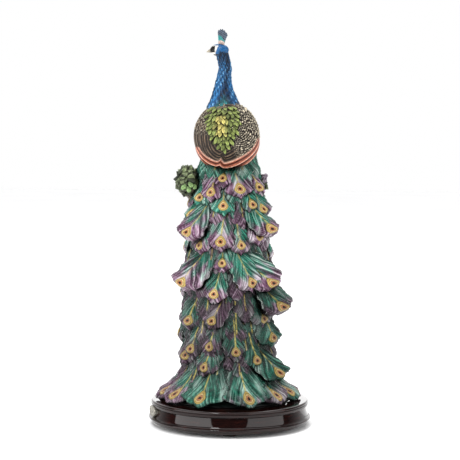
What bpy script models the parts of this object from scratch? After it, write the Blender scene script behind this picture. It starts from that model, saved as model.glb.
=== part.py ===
"""A cast peacock figurine: the bird on a mossy tree trunk, its train hanging in tiers down the back to a
round turned base on four small feet, with an oval badge on the base. Metres, +Z up, the train towards -Y."""

from math import acos, atan2, copysign, cos, pi, radians, sin, sqrt

import bmesh
import bpy
from mathutils import Matrix, Vector

MM = 0.001
TOUCH = 0.3 * MM

# Base: a 7 inch turned disc on four feet
BASE_RADIUS = 88.9 * MM
BASE_THICK = 23.5 * MM
RIM_STEP = 2.6 * MM
RIM_RADIUS = BASE_RADIUS - RIM_STEP
RIM_HEIGHT = 6.2 * MM
RIM_ROUND = 2.0 * MM
RIM_GROOVE = 0.5 * MM
COVE_DEPTH = 5.7 * MM
COVE_RADIUS = BASE_RADIUS - COVE_DEPTH
COVE_FOOT_DEPTH = 2.4 * MM
COVE_FOOT_RADIUS = BASE_RADIUS - COVE_FOOT_DEPTH
COVE_FOOT = 6.3 * MM
BEAD = 2.4 * MM
BEAD_TURN = 60
FILLET = 1.0 * MM
TUCK_STEP = 2.3 * MM
TUCK_RADIUS = BASE_RADIUS - TUCK_STEP
COVE_STEPS = 3
BASE_STEPS = 28

# Feet under the base
FOOT_HEIGHT = 4.5 * MM
FOOT_RADIUS = 7.5 * MM
FOOT_INSET = 22.9 * MM
FOOT_RING = BASE_RADIUS - FOOT_INSET
FOOT_ROUND = 1.0 * MM
FOOT_STEPS = 12
FOOT_PLACES = {"front": -90, "right": 0, "back": 90, "left": 180}

# Badge on the base's cove, to the left of the train
BADGE_WIDTH = 23 * MM
BADGE_TALL = 12 * MM
BADGE_THICK = 1.4 * MM
BADGE_RIM = 1.6 * MM
BADGE_OFF_RIM = 0.5 * MM
BADGE_BACK_RADIUS = max(RIM_RADIUS, COVE_FOOT_RADIUS) + BADGE_OFF_RIM
BADGE_MIDDLE = COVE_FOOT + BADGE_TALL / 2 + FILLET / 2
BADGE_BOSS_RADIUS = 2.5 * MM
BADGE_AZIMUTH = -164

# Figure: every size of it below is in parts of its height, up from the base's top face, 403 to the crest
FIGURE_TALL = 403 * MM
PART = FIGURE_TALL / 403
FIGURE_FLOOR = FOOT_HEIGHT + BASE_THICK + TOUCH
AXIS_X = -2.5
AXIS_Y = 2.0

# Half sizes of the train and of the trunk behind it at each height
HEIGHTS = (0.0, 3, 9, 18, 34, 62, 110, 150, 190, 222, 242, 256)
HALF_WIDTH = (74, 72, 66, 55, 48, 45, 43, 41, 37, 33, 30, 27)
TRAIN_DEPTH = (71, 69, 60, 51, 45, 42, 40, 38, 35, 30, 22, 11)
TRUNK_DEPTH = (58, 52, 43, 36, 31, 28, 26, 26, 25, 25, 23, 20)
CORE_AROUND = 28
CORE_RINGS = 12
CORE_IN_BODY = 10
RIDGES = 7
RIDGE_TWIST = 40
FLUTE_DEPTH = 1.2
BARK_DEPTH = 3.4

# Train feathers: angle round the trunk (0 towards -Y, + to the right) and height of the eye,
# lean of the tip in degrees, length, width, and how far the tip stands off the trunk
FEATHERS = (
    (-11, 242, -4, 34, 16, 6),
    (-29, 227, -6, 45, 20, 8),
    (18, 231, 8, 45, 26, 9),
    (-53, 221, -12, 42, 19, 7),
    (62, 232, 18, 40, 20, 7),
    (40, 214, 12, 50, 22, 7),
    (-8, 213, 0, 40, 24, 7),
    (60, 209, 14, 45, 24, 10),
    (-64, 203, -14, 38, 24, 11),
    (-53, 184, -16, 52, 27, 20),
    (-42, 170, -8, 52, 22, 8),
    (-10, 175, -3, 52, 27, 9),
    (18, 171, 5, 50, 20, 7),
    (47, 180, 12, 48, 24, 9),
    (58, 188, 20, 48, 25, 19),
    (-8, 152, 0, 34, 18, 7),
    (52, 130, 34, 54, 30, 21),
    (-51, 138, -14, 52, 20, 9),
    (-54, 130, -20, 60, 30, 21),
    (29, 131, 18, 62, 27, 9),
    (-17, 119, -9, 52, 25, 10),
    (60, 104, 18, 54, 30, 27),
    (-57, 88, -12, 50, 26, 8),
    (-20, 90, -22, 56, 22, 7),
    (49, 91, 14, 58, 24, 9),
    (10, 57, 2, 60, 22, 7),
    (-23, 62, -10, 54, 22, 6),
    (61, 70, 12, 52, 27, 12),
    (-50, 58, -12, 52, 22, 7),
    (-61, 50, -8, 44, 26, 7),
    (37, 47, 10, 52, 23, 7),
    (-28, 40, -14, 52, 24, 7),
    (58, 33, 20, 45, 28, 19),
)
EYE_BACK = 11
FEATHER_FLOOR = 4.0
FLOOR_LIP = 1.0
NARROW = 23
ROOT_WIDTH = 0.45
WIDEST_AT = 0.7
TIP_NARROWING = 0.7
TIP_ROUNDING = 0.26
TIP_CREST = 0.8
TIP_CURL = 0.5
CROWN = 0.16
FACING = 0.45
FACING_FROM = 42
FACING_OVER = 15
FACING_TO = 90
TUCK_UNDER = 1.5
TUCK_DEEP = 5
TUCK_APART = 0.37
TUCK_TURNS = 7

# Side feathers, where the train meets the bark: root heights, angle, lean, length, width, stand-off
SIDE_ROOTS = (261, 213, 165, 117)
SIDE_ANGLE = 102
SIDE_LEAN = 8
SIDE_LENGTH = 58
SIDE_WIDTH = 30
SIDE_STAND_OFF = 10
SIDE_STAGGER = 6

# Skirt feathers that lie on the base: angle, lean, width and reach over the base
SKIRT = (
    (-22, -2, 42, 10),
    (17, 1, 44, 11),
    (46, 6, 38, 8),
    (70, 8, 34, 8),
    (-50, -6, 38, 8),
    (-74, -8, 34, 7),
    (-98, -6, 28, 5),
    (87, 6, 28, 9),
)
SKIRT_EYE_HEIGHT = 11
SKIRT_LENGTH = 46
SKIRT_FLOOR = 0.5

# Bird. Wing rows: degrees up at top and bottom, degrees round at the outer end of each, and how far raised
BODY_AT = (-5, 4, 287)
BODY_HALF = (33, 38, 34.5)
BODY_AROUND = 16
BODY_RINGS = 10
WING_ROWS = ((50, -16, 118, 112, 3.8), (0, -42, 116, 104, 3.0), (-30, -68, 108, 66, 2.2))
WING_INNER = 3
WING_SWEEP = 9
WING_ROOT = -4

# Saddle of scale feathers between the wings, in degrees on the body, and the height of its scales
SADDLE_TOP = 58
SADDLE_LOW = -30
SADDLE_MIDDLE = -7
SADDLE_SPREAD = 40
SADDLE_RAISE = 4.6
SCALE_RAISE = 1.5
SADDLE_ROOT = -3

NECK_HEIGHTS = (308, 319, 327, 336, 344, 352, 361, 370, 378, 383)
NECK_X = (-7, -8.3, -8.0, -8.8, -8.8, -8.2, -6.8, -8.6, -10.4, -11.4)
NECK_Y = (4, 6, 8, 9, 9.5, 9, 7.5, 5.5, 3.5, 2.5)
NECK_HALF = (22, 18.4, 15.0, 11.6, 9.3, 7.8, 7.1, 7.1, 6.6, 4.0)
NECK_FLATTEN = 1.08
NECK_RINGS = 12
HEAD_AT = (-13.2, 3.4, 380.2)
HEAD_HALF = (10.4, 6.2, 6.6)
HEAD_TURN = 160
BEAK_LENGTH = 9
BEAK_RADIUS = 2.9
BEAK_TIP = 0.5
BEAK_DROOP = 98
CREST_FOOT = (-11.8, 2.6, 383)
CREST_TALL = 22.1
CREST_HALF = (3.2, 5.8)
CREST_FLARE = 1.6
CREST_SLANT = 2.0
CREST_THICK = 3.4
CREST_LOBES = 5
CREST_SCALLOP = 1.2
CREST_DROOP = 4.0
CREST_SET_BACK = 2.0

# Tree: limbs as points (x, y, height, radius), and lumps of moss round the stump's head
STUMP = ((-22, 12, 200, 9), (-34, 10, 214, 8), (-41, 8, 224, 7.8), (-47, 6, 235, 12), (-47, 6, 247, 10))
KNOT = ((14, 14, 208, 9), (27, 11, 228, 7.5), (33, 9, 236, 6.8), (36, 8, 242, 4.2), (38.5, 8, 244.5, 2.2))
PERCH = ((-20, 24, 222, 10), (-4, 26, 226, 11), (14, 24, 224, 9))
LEG = ((0, 14, 264, 5.0), (1, 22, 248, 2.8), (1.5, 25, 236, 2.6))
TOES = ((0, 25, 238, 2.2), (0, 34, 237, 2.0), (0, 37.5, 230, 1.4))
LEG_OUT = 9
TOE_SPREAD = (-4.5, 0, 4.5)
MOSS_LUMPS = 7
MOSS_SIZE = (6.0, 5.6, 4.4)
MOSS_AT = (-46.5, 6.5)
MOSS_LOW = 219
MOSS_RISE = 29
MOSS_HEIGHTS = (212, 227, 238, 252)
MOSS_REACH = (7, 10.5, 11.0, 5)
MOSS_TURN = 2.3

FEATHER_GREEN = (0.05, 0.21, 0.16, 1)
MAHOGANY = (0.012, 0.005, 0.004, 1)
PEWTER = (0.30, 0.30, 0.28, 1)
FOOT_DARK = (0.015, 0.012, 0.011, 1)


def clear_scene():
    for obj in list(bpy.data.objects):
        bpy.data.objects.remove(obj, do_unlink=True)


def new_collection(name):
    made = bpy.data.collections.new(name)
    bpy.context.scene.collection.children.link(made)
    return made


def material(name, colour, roughness, metallic):
    made = bpy.data.materials.new(name)
    made.use_nodes = True
    shader = made.node_tree.nodes["Principled BSDF"]
    shader.inputs["Base Color"].default_value = colour
    shader.inputs["Roughness"].default_value = roughness
    shader.inputs["Metallic"].default_value = metallic
    made.diffuse_color = colour
    return made


def between(value, stations, sizes):
    """The size at a value, on straight lines from station to station."""
    value = min(max(value, stations[0]), stations[-1])
    last = len(stations) - 2
    i = next((k for k in range(last) if value <= stations[k + 1]), last)
    share = (value - stations[i]) / (stations[i + 1] - stations[i])
    return sizes[i] + (sizes[i + 1] - sizes[i]) * share


def in_figure(point):
    """A place in the figure, from its point in parts of the figure's height."""
    return Vector(point) * PART + Vector((0, 0, FIGURE_FLOOR))


def object_from(form, name, collection):
    bmesh.ops.recalc_face_normals(form, faces=form.faces)
    bmesh.ops.triangulate(form, faces=form.faces)
    mesh = bpy.data.meshes.new(name)
    form.to_mesh(mesh)
    form.free()
    obj = bpy.data.objects.new(name, mesh)
    collection.objects.link(obj)
    return obj


def helper(form, name):
    """A form that a union joins into the casting."""
    obj = object_from(form, name, forms)
    obj.hide_render = True
    obj.display_type = "WIRE"
    return obj


def column(name, around, rings, place):
    """A closed form: place(angle, share) gives each point, from share 0 at its foot to 1 at its top."""
    form = bmesh.new()
    bmesh.ops.create_uvsphere(form, u_segments=around, v_segments=rings, radius=1)
    for vert in form.verts:
        share = acos(max(-1.0, min(1.0, -vert.co.z))) / pi
        vert.co = place(atan2(vert.co.y, vert.co.x), share)
    return helper(form, name)


def ellipsoid(name, centre, half, turn, around, rings):
    form = bmesh.new()
    bmesh.ops.create_uvsphere(form, u_segments=around, v_segments=rings, radius=1)
    shape = Matrix.Rotation(turn, 4, "Z") @ Matrix.Diagonal((*half, 1))
    for vert in form.verts:
        vert.co = in_figure(Vector(centre) + shape @ vert.co)
    return helper(form, name)


def slab(name, across, along, outer, inner):
    """A closed form between two surfaces, each given by place(s, t) with s from -1 to 1 and t from 0 to 1."""
    form = bmesh.new()
    bmesh.ops.create_grid(form, x_segments=across, y_segments=along, size=1)
    sheet = list(form.faces)
    made = bmesh.ops.extrude_face_region(form, geom=sheet, use_keep_orig=True)["geom"]
    copied = {item for item in made if isinstance(item, bmesh.types.BMVert)}
    for vert in form.verts:
        side = inner if vert in copied else outer
        vert.co = side(vert.co.x, (vert.co.y + 1) / 2)
    return helper(form, name)


def limb(name, points, sides=2):
    """A round limb with its own radius at each point."""
    curve = bpy.data.curves.new(name, "CURVE")
    curve.dimensions = "3D"
    curve.bevel_depth = PART
    curve.bevel_resolution = sides
    curve.use_fill_caps = True
    line = curve.splines.new("POLY")
    line.points.add(len(points) - 1)
    for point, (x, y, z, radius) in zip(line.points, points):
        point.co = (*in_figure((x, y, z)), 1)
        point.radius = radius
    tube = bpy.data.objects.new(name, curve)
    forms.objects.link(tube)
    bpy.context.view_layer.update()
    form = bmesh.new()
    form.from_mesh(bpy.data.meshes.new_from_object(tube.evaluated_get(bpy.context.evaluated_depsgraph_get())))
    bpy.data.objects.remove(tube, do_unlink=True)
    bmesh.ops.remove_doubles(form, verts=form.verts, dist=0.01 * PART)
    return helper(form, name)


def turned(name, profile, steps, collection):
    """A profile in the XZ plane, top to bottom, turned round Z."""
    form = bmesh.new()
    verts = [form.verts.new((radius, 0, height)) for radius, height in profile]
    for start, end in zip(verts, verts[1:]):
        form.edges.new((start, end))
    mesh = bpy.data.meshes.new(name)
    form.to_mesh(mesh)
    form.free()
    obj = bpy.data.objects.new(name, mesh)
    collection.objects.link(obj)
    screw = obj.modifiers.new("Turned", "SCREW")
    screw.steps = steps
    screw.render_steps = steps
    screw.use_merge_vertices = True
    screw.merge_threshold = 0.00001
    return obj


def arc(centre, radius, first, last, steps):
    """Points on an arc in the profile's plane, angles in degrees from +X."""
    turns = [radians(first + (last - first) * k / steps) for k in range(steps + 1)]
    return [(centre[0] + radius * cos(a), centre[1] + radius * sin(a)) for a in turns]


def cove_radius(height):
    """The base's radius in its hollow moulding, at a height above its underside."""
    share = (BASE_THICK - RIM_HEIGHT - FILLET - height) / (BASE_THICK - RIM_HEIGHT - FILLET - COVE_FOOT)
    share = min(max(share, 0), 1)
    return COVE_RADIUS + (COVE_FOOT_RADIUS - COVE_RADIUS) * (1 - sqrt(1 - share * share))


def make_base():
    low = FOOT_HEIGHT
    top = low + BASE_THICK
    rim_mid = top - RIM_HEIGHT / 2
    rim_low = top - RIM_HEIGHT
    cove_foot = low + COVE_FOOT
    profile = [(0, top)]
    profile += arc((RIM_RADIUS - RIM_ROUND, top - RIM_ROUND), RIM_ROUND, 90, 0, 2)
    profile += [
        (RIM_RADIUS, rim_mid + RIM_GROOVE),
        (RIM_RADIUS - RIM_GROOVE, rim_mid),
        (RIM_RADIUS, rim_mid - RIM_GROOVE),
        (RIM_RADIUS, rim_low + RIM_GROOVE),
        (RIM_RADIUS - RIM_GROOVE, rim_low),
        (COVE_RADIUS, rim_low - FILLET),
    ]
    for k in range(1, COVE_STEPS + 1):
        height = rim_low - FILLET + (cove_foot - rim_low + FILLET) * k / COVE_STEPS
        profile.append((cove_radius(height - low), height))
    bead = cove_foot - FILLET - BEAD / 2
    profile.append((BASE_RADIUS - BEAD / 2, cove_foot - FILLET))
    profile += arc((BASE_RADIUS - BEAD / 2, bead), BEAD / 2, BEAD_TURN, -BEAD_TURN, 2)
    profile.append((TUCK_RADIUS, low + FILLET))
    profile.append((TUCK_RADIUS - FILLET, low))
    profile.append((0, low))
    base = turned("base", profile, BASE_STEPS, parts)
    base.data.materials.append(material("mahogany gloss", MAHOGANY, 0.12, 0))
    return base


def make_feet():
    height = FOOT_HEIGHT - TOUCH
    profile = [(0, height), (FOOT_RADIUS, height)]
    profile += arc((FOOT_RADIUS - FOOT_ROUND, FOOT_ROUND), FOOT_ROUND, 0, -90, 2)
    profile.append((0, 0))
    dark = material("foot", FOOT_DARK, 0.5, 0)
    for place, azimuth in FOOT_PLACES.items():
        foot = turned("foot_" + place, profile, FOOT_STEPS, parts)
        foot.location = Matrix.Rotation(radians(azimuth), 3, "Z") @ Vector((FOOT_RING, 0, 0))
        foot.data.materials.append(dark)


def make_badge():
    """An oval plate with a raised rim, bent to the base, with a boss at its back that reaches the cove."""
    rings = ((0, 0), (1, 0), (1, 1), (1 - BADGE_RIM / BADGE_TALL, 1), (0.72, 0.55), (0, 0.75))
    plate = bmesh.new()
    bmesh.ops.create_uvsphere(plate, u_segments=16, v_segments=len(rings) - 1, radius=1)
    for vert in plate.verts:
        ring = rings[round(acos(max(-1.0, min(1.0, -vert.co.z))) / pi * (len(rings) - 1))]
        turn = atan2(vert.co.y, vert.co.x)
        across = ring[0] * cos(turn) * BADGE_WIDTH / 2 / BADGE_BACK_RADIUS
        out = BADGE_BACK_RADIUS + ring[1] * BADGE_THICK
        vert.co = (out * cos(across), out * sin(across), ring[0] * sin(turn) * BADGE_TALL / 2)
    badge = object_from(plate, "badge", parts)
    boss = bmesh.new()
    boss_from = cove_radius(BADGE_MIDDLE - BADGE_BOSS_RADIUS) + 2 * TOUCH
    reach = BADGE_BACK_RADIUS + BADGE_THICK / 3 - boss_from
    bmesh.ops.create_cone(
        boss, cap_ends=True, segments=16, radius1=BADGE_BOSS_RADIUS, radius2=BADGE_BOSS_RADIUS, depth=reach
    )
    bmesh.ops.rotate(boss, verts=boss.verts, matrix=Matrix.Rotation(pi / 2, 3, "Y"))
    bmesh.ops.translate(boss, verts=boss.verts, vec=(boss_from + reach / 2, 0, 0))
    boss_form = object_from(boss, "badge_boss", badge_forms)
    boss_form.hide_render = True
    place = Matrix.Translation((0, 0, FOOT_HEIGHT + BADGE_MIDDLE))
    for piece in (badge, boss_form):
        piece.matrix_world = Matrix.Rotation(radians(BADGE_AZIMUTH), 4, "Z") @ place
    join = badge.modifiers.new("Boss", "BOOLEAN")
    join.operation = "UNION"
    join.object = boss_form
    badge.data.materials.append(material("pewter", PEWTER, 0.35, 1))


def on_trunk(angle, height, stand_off):
    """A point off the train's or trunk's surface, at an angle from -Y and a height above the base."""
    width = between(height, HEIGHTS, HALF_WIDTH) + stand_off
    depths = TRAIN_DEPTH if cos(angle) > 0 else TRUNK_DEPTH
    depth = between(height, HEIGHTS, depths) + stand_off
    return in_figure((AXIS_X + width * sin(angle), AXIS_Y - depth * cos(angle), height))


def make_core():
    """The train's fluted inner shape and the bark of the trunk, from the base up into the body."""
    tall = HEIGHTS[-1] + CORE_IN_BODY

    def place(turn, share):
        inside = 1 / CORE_RINGS
        height = tall * min(max((share - inside) / (1 - 2 * inside), 0), 1)
        angle = turn + pi / 2
        if share in (0, 1):
            return on_trunk(0, height, -between(height, HEIGHTS, TRAIN_DEPTH))
        deep = FLUTE_DEPTH + (BARK_DEPTH - FLUTE_DEPTH) * max(0.0, -cos(angle))
        return on_trunk(angle, height, deep * cos(RIDGES * angle + height / RIDGE_TWIST))

    return column("core", CORE_AROUND, CORE_RINGS, place)


def feather_outline(t):
    """Half width as a share of the most, at t from the root to the blunt tip."""
    swell = ROOT_WIDTH + (1 - ROOT_WIDTH) * sin(pi / 2 * min(t / WIDEST_AT, 1))
    return swell * sqrt(1 - TIP_NARROWING * (max(t - WIDEST_AT, 0) / (1 - WIDEST_AT)) ** 2)


def feather_lift(t):
    """How far a feather is off the trunk, as a share of its stand-off: up to its crest, then curled in."""
    curl = max(t - TIP_CREST, 0) / (1 - TIP_CREST)
    return min(t / TIP_CREST, 1) ** 1.3 - TIP_CURL * curl**2


def feather(
    name, number, angle, height, lean, length, width, stand_off, back=EYE_BACK, floor=FEATHER_FLOOR
):
    """A train feather down the trunk, its tip lifted off and, at the sides, turned to face -Y.
    Its underside is inside the casting, at a depth that no feather beside it shares."""
    lean = radians(lean)
    facing = FACING * min(max((abs(angle) - FACING_FROM) / FACING_OVER, 0), 1)
    outward = copysign(facing * width / 2, angle) if abs(angle) < FACING_TO else 0
    tuck = TUCK_DEEP + TUCK_APART * (number % TUCK_TURNS)

    def place(s, t, deep):
        t = 1 - (1 - t) ** 1.35
        rounding = TIP_ROUNDING * width * s * s * t**6
        down = (t - 1) * length + back - rounding
        aside = s * width / 2 * feather_outline(t)
        at = max(height - down * cos(lean) + aside * sin(lean), floor if deep else floor + FLOOR_LIP)
        round_trunk = (between(at, HEIGHTS, HALF_WIDTH) + between(at, HEIGHTS, TRAIN_DEPTH)) / 2
        turn = radians(angle) + (down * sin(lean) + aside * cos(lean)) / round_trunk
        if deep:
            return on_trunk(turn, at, -tuck)
        lift = (stand_off + TUCK_UNDER) * feather_lift(t) - TUCK_UNDER
        return on_trunk(turn, at, lift - CROWN * width * s * s * t + outward * s * min(t / TIP_CREST, 1))

    across = 4 if width > NARROW else 3
    return slab(name, across, 3, lambda s, t: place(s, t, False), lambda s, t: place(s, t, True))


def make_train():
    for k, (angle, height, lean, length, width, stand_off) in enumerate(FEATHERS):
        feather(f"feather_{k}", k, angle, height, lean, length, width, stand_off)
    for tier, root in enumerate(SIDE_ROOTS):
        for side in (-1, 1):
            at = root - SIDE_LENGTH + EYE_BACK - SIDE_STAGGER * (side > 0)
            sizes = (SIDE_LENGTH, SIDE_WIDTH, SIDE_STAND_OFF)
            feather(f"side_{tier}_{side}", 2 * tier + side, side * SIDE_ANGLE, at, side * SIDE_LEAN, *sizes)
    for k, (angle, lean, width, reach) in enumerate(SKIRT):
        sizes = (SKIRT_LENGTH, width, reach)
        feather(f"skirt_{k}", k + 2, angle, SKIRT_EYE_HEIGHT, lean, *sizes, SKIRT_EYE_HEIGHT, SKIRT_FLOOR)


def on_body(around, up, stand_off):
    """A point off the body, at degrees round from -Y and degrees above its middle."""
    a = radians(around)
    e = radians(up)
    half = [size + stand_off for size in BODY_HALF]
    direction = Vector((half[0] * cos(e) * sin(a), -half[1] * cos(e) * cos(a), half[2] * sin(e)))
    return in_figure(Vector(BODY_AT) + direction)


def make_wing(side):
    """A folded wing over the flank in three stepped rows, the lowest curving in to the tail."""
    for row, (top, low, outer_top, outer_low, raised) in enumerate(WING_ROWS):

        def place(s, t, stand_off):
            outer = outer_top + (outer_low - outer_top) * t * t
            around = side * (WING_INNER + (outer - WING_INNER) * (s + 1) / 2)
            return on_body(around, top + (low - top) * t + WING_SWEEP * (s + 1) * t, stand_off)

        root = WING_ROOT - row
        slab(f"wing_{side}_{row}", 4, 3, lambda s, t: place(s, t, raised), lambda s, t: place(s, t, root))


def make_saddle():
    """The patch of raised scales between the wings, a spade with its point down."""
    across = 6
    along = 6

    def place(s, t, stand_off):
        up = SADDLE_TOP + (SADDLE_LOW - SADDLE_TOP) * t
        spread = SADDLE_SPREAD * max(0.0, 1 - ((t - 0.3) / 0.72) ** 2) ** 0.8
        return on_body(SADDLE_MIDDLE + s * spread, up, stand_off)

    def scaled(s, t):
        odd = (round((s + 1) / 2 * across) + round(t * along)) % 2
        return place(s, t, SADDLE_RAISE + SCALE_RAISE * odd)

    slab("saddle", across, along, scaled, lambda s, t: place(s, t, SADDLE_ROOT))


def make_neck():
    low = NECK_HEIGHTS[0]
    tall = NECK_HEIGHTS[-1] - low

    def place(turn, share):
        inside = 1 / NECK_RINGS
        height = low + tall * min(max((share - inside) / (1 - 2 * inside), 0), 1)
        half = 0 if share in (0, 1) else between(height, NECK_HEIGHTS, NECK_HALF)
        x = between(height, NECK_HEIGHTS, NECK_X) + half * cos(turn)
        y = between(height, NECK_HEIGHTS, NECK_Y) + half * NECK_FLATTEN * sin(turn)
        return in_figure((x, y, height))

    column("neck", 12, NECK_RINGS, place)


def make_head():
    turn = radians(HEAD_TURN)
    ellipsoid("head", HEAD_AT, HEAD_HALF, turn, 12, 8)
    beak = bmesh.new()
    bmesh.ops.create_cone(
        beak, cap_ends=True, segments=8, radius1=BEAK_RADIUS, radius2=BEAK_TIP, depth=BEAK_LENGTH
    )
    aim = Matrix.Rotation(turn, 4, "Z") @ Matrix.Rotation(radians(BEAK_DROOP), 4, "Y")
    reach = Matrix.Rotation(turn, 4, "Z") @ Vector((HEAD_HALF[0], 0, 0))
    for vert in beak.verts:
        vert.co = in_figure(Vector(HEAD_AT) + reach + aim @ vert.co)
    helper(beak, "beak")


def make_crest():
    """A fan of crest feathers in the plane of the turned head, with a scalloped top."""
    forward = Matrix.Rotation(radians(HEAD_TURN), 3, "Z") @ Vector((1, 0, 0))
    sideways = Matrix.Rotation(radians(HEAD_TURN), 3, "Z") @ Vector((0, 1, 0))

    def place(s, t, side):
        half = CREST_HALF[0] + (CREST_HALF[1] - CREST_HALF[0]) * t**CREST_FLARE
        scallop = CREST_SCALLOP * abs(cos(CREST_LOBES * pi / 2 * (s + 1))) * t**3
        droop = CREST_DROOP * s * s * t
        thick = CREST_THICK * (0.35 + 0.25 * t)
        out = forward * (s * half - CREST_SET_BACK * t) + sideways * side * thick
        rise = (CREST_TALL + CREST_SLANT * (s - 1)) * t - droop - scallop
        return in_figure(Vector(CREST_FOOT) + out + Vector((0, 0, rise)))

    slab("crest", 10, 3, lambda s, t: place(s, t, 1), lambda s, t: place(s, t, -1))


def make_tree():
    """Limbs at the top of the trunk, with moss on the left stump, and the bird's legs on the perch."""
    limb("stump", STUMP)
    limb("knot", KNOT)
    limb("perch", PERCH)
    for side in (-1, 1):
        shift = BODY_AT[0] + side * LEG_OUT
        limb(f"leg_{side}", [(x * side + shift, y, z, r) for x, y, z, r in LEG], 1)
        for k, spread in enumerate(TOE_SPREAD):
            toe = [(shift + side + spread * n / 2, y, z, r) for n, (x, y, z, r) in enumerate(TOES)]
            limb(f"toe_{side}_{k}", toe, 1)
    for k in range(MOSS_LUMPS):
        height = MOSS_LOW + MOSS_RISE * (k + 0.5) / MOSS_LUMPS
        reach = between(height, MOSS_HEIGHTS, MOSS_REACH)
        turn = k * MOSS_TURN
        centre = (MOSS_AT[0] + reach * cos(turn), MOSS_AT[1] + reach * sin(turn), height)
        ellipsoid(f"moss_{k}", centre, MOSS_SIZE, turn, 6, 4)


def make_figure():
    """The whole casting: every form joined to the core by one union."""
    make_train()
    for side in (-1, 1):
        make_wing(side)
    make_saddle()
    make_neck()
    make_head()
    make_crest()
    make_tree()
    ellipsoid("body", BODY_AT, BODY_HALF, 0, BODY_AROUND, BODY_RINGS)
    core = make_core()
    figure = bpy.data.objects.new("peacock_figure", core.data)
    bpy.data.objects.remove(core, do_unlink=True)
    parts.objects.link(figure)
    join = figure.modifiers.new("Casting", "BOOLEAN")
    join.operation = "UNION"
    join.operand_type = "COLLECTION"
    join.collection = forms
    figure.data.materials.append(material("painted resin", FEATHER_GREEN, 0.45, 0))
    return figure


clear_scene()
parts = new_collection("peacock")
forms = new_collection("peacock forms")
badge_forms = new_collection("badge forms")
make_figure()
make_badge()
make_base()
make_feet()
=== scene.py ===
"""Looks of the peacock figurine: the painted casting in fine relief, its glossy turned base, feet and
badge, on a pale floor in soft studio light. Metres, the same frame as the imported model."""

from math import cos, pi, radians, sin, sqrt

import bmesh
import bpy
import numpy as np
from mathutils import Matrix, Vector


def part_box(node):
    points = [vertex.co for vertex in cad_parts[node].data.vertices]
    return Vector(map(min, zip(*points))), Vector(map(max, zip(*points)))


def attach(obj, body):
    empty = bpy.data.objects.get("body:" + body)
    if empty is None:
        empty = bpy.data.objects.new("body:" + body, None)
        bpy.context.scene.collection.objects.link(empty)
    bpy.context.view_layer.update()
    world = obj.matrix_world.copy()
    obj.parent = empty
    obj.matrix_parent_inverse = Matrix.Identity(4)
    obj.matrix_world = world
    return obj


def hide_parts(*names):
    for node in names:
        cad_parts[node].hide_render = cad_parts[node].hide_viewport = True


MM = 0.001

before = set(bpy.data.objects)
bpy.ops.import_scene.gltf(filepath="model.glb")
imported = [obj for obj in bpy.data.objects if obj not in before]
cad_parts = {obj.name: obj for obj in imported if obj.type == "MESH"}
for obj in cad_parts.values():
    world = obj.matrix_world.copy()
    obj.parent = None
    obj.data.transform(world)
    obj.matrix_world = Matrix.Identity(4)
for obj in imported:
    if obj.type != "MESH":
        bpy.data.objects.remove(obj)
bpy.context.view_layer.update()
BASE_LOW, BASE_TOP = (corner[2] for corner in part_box("base"))
FLOOR_GAP = 0.3
FIGURE_FLOOR = BASE_TOP / MM + FLOOR_GAP

# Camera: the photograph's place and angle
CAMERA_AT = (-0.00065, -1.6, 0.3245)
CAMERA_AIM = (-0.00065, 0, 0.213)
CAMERA_LENS = 114.9
CAMERA_ROLL = 0.36

# Trunk and train sizes, as in the solid: heights in mm above the figure's floor on the base
AXIS_X = -2.5
AXIS_Y = 2.0
HEIGHTS = (0.0, 3, 9, 18, 34, 62, 110, 150, 190, 222, 242, 256)
HALF_WIDTH = (74, 72, 66, 55, 48, 45, 43, 41, 37, 33, 30, 27)
TRAIN_DEPTH = (71, 69, 60, 51, 45, 42, 40, 38, 35, 30, 22, 11)
TRUNK_DEPTH = (58, 52, 43, 36, 31, 28, 26, 26, 25, 25, 23, 20)
BARK_RIDGES = 7
BARK_DEPTH = 3.4

# Train feathers: angle, eye height, lean, length, width, stand-off, and where along it green turns mauve
NO_MAUVE = 2.0
FEATHERS = (
    (-11, 242, -4, 34, 16, 6, 0.62),
    (-29, 227, -6, 45, 20, 8, 0.30),
    (18, 231, 8, 45, 26, 9, 0.50),
    (-53, 221, -12, 42, 19, 7, NO_MAUVE),
    (62, 232, 18, 40, 20, 7, 0.30),
    (40, 214, 12, 50, 22, 7, 0.90),
    (-8, 213, 0, 40, 24, 7, NO_MAUVE),
    (60, 209, 14, 45, 24, 10, 0.75),
    (-64, 203, -14, 38, 24, 11, NO_MAUVE),
    (-53, 184, -16, 52, 27, 20, 0.50),
    (-42, 170, -8, 52, 22, 8, 0.70),
    (-10, 175, -3, 52, 27, 9, 0.52),
    (18, 171, 5, 50, 20, 7, 0.72),
    (47, 180, 12, 48, 24, 9, 0.45),
    (58, 188, 20, 48, 25, 19, 0.60),
    (-8, 152, 0, 34, 18, 7, 0.70),
    (52, 130, 34, 54, 30, 21, 0.55),
    (-51, 138, -14, 52, 20, 9, 0.74),
    (-54, 130, -20, 60, 30, 21, 0.52),
    (29, 131, 18, 62, 27, 13, 0.70),
    (-17, 119, -9, 52, 25, 10, 0.70),
    (60, 104, 18, 54, 30, 27, 0.74),
    (-57, 88, -12, 50, 26, 8, 0.80),
    (-20, 90, -22, 56, 22, 7, 0.20),
    (49, 91, 14, 58, 24, 9, 0.86),
    (10, 57, 2, 60, 22, 7, 0.84),
    (-23, 62, -10, 54, 22, 6, 0.60),
    (61, 70, 12, 52, 27, 12, NO_MAUVE),
    (-50, 58, -12, 52, 22, 7, 0.60),
    (-61, 50, -8, 44, 26, 7, 0.40),
    (37, 47, 10, 52, 23, 7, NO_MAUVE),
    (-28, 40, -14, 52, 24, 7, 0.80),
    (58, 33, 20, 45, 28, 19, NO_MAUVE),
)
EYE_BACK = 11
FEATHER_FLOOR = 4.0
FEATHER_GRID = (44, 22)
ROOT_WIDTH = 0.50
WIDEST_AT = 0.65
TIP_START = 0.70
TIP_NARROWING = 0.95
TIP_BLUNTNESS = 2.9
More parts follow.
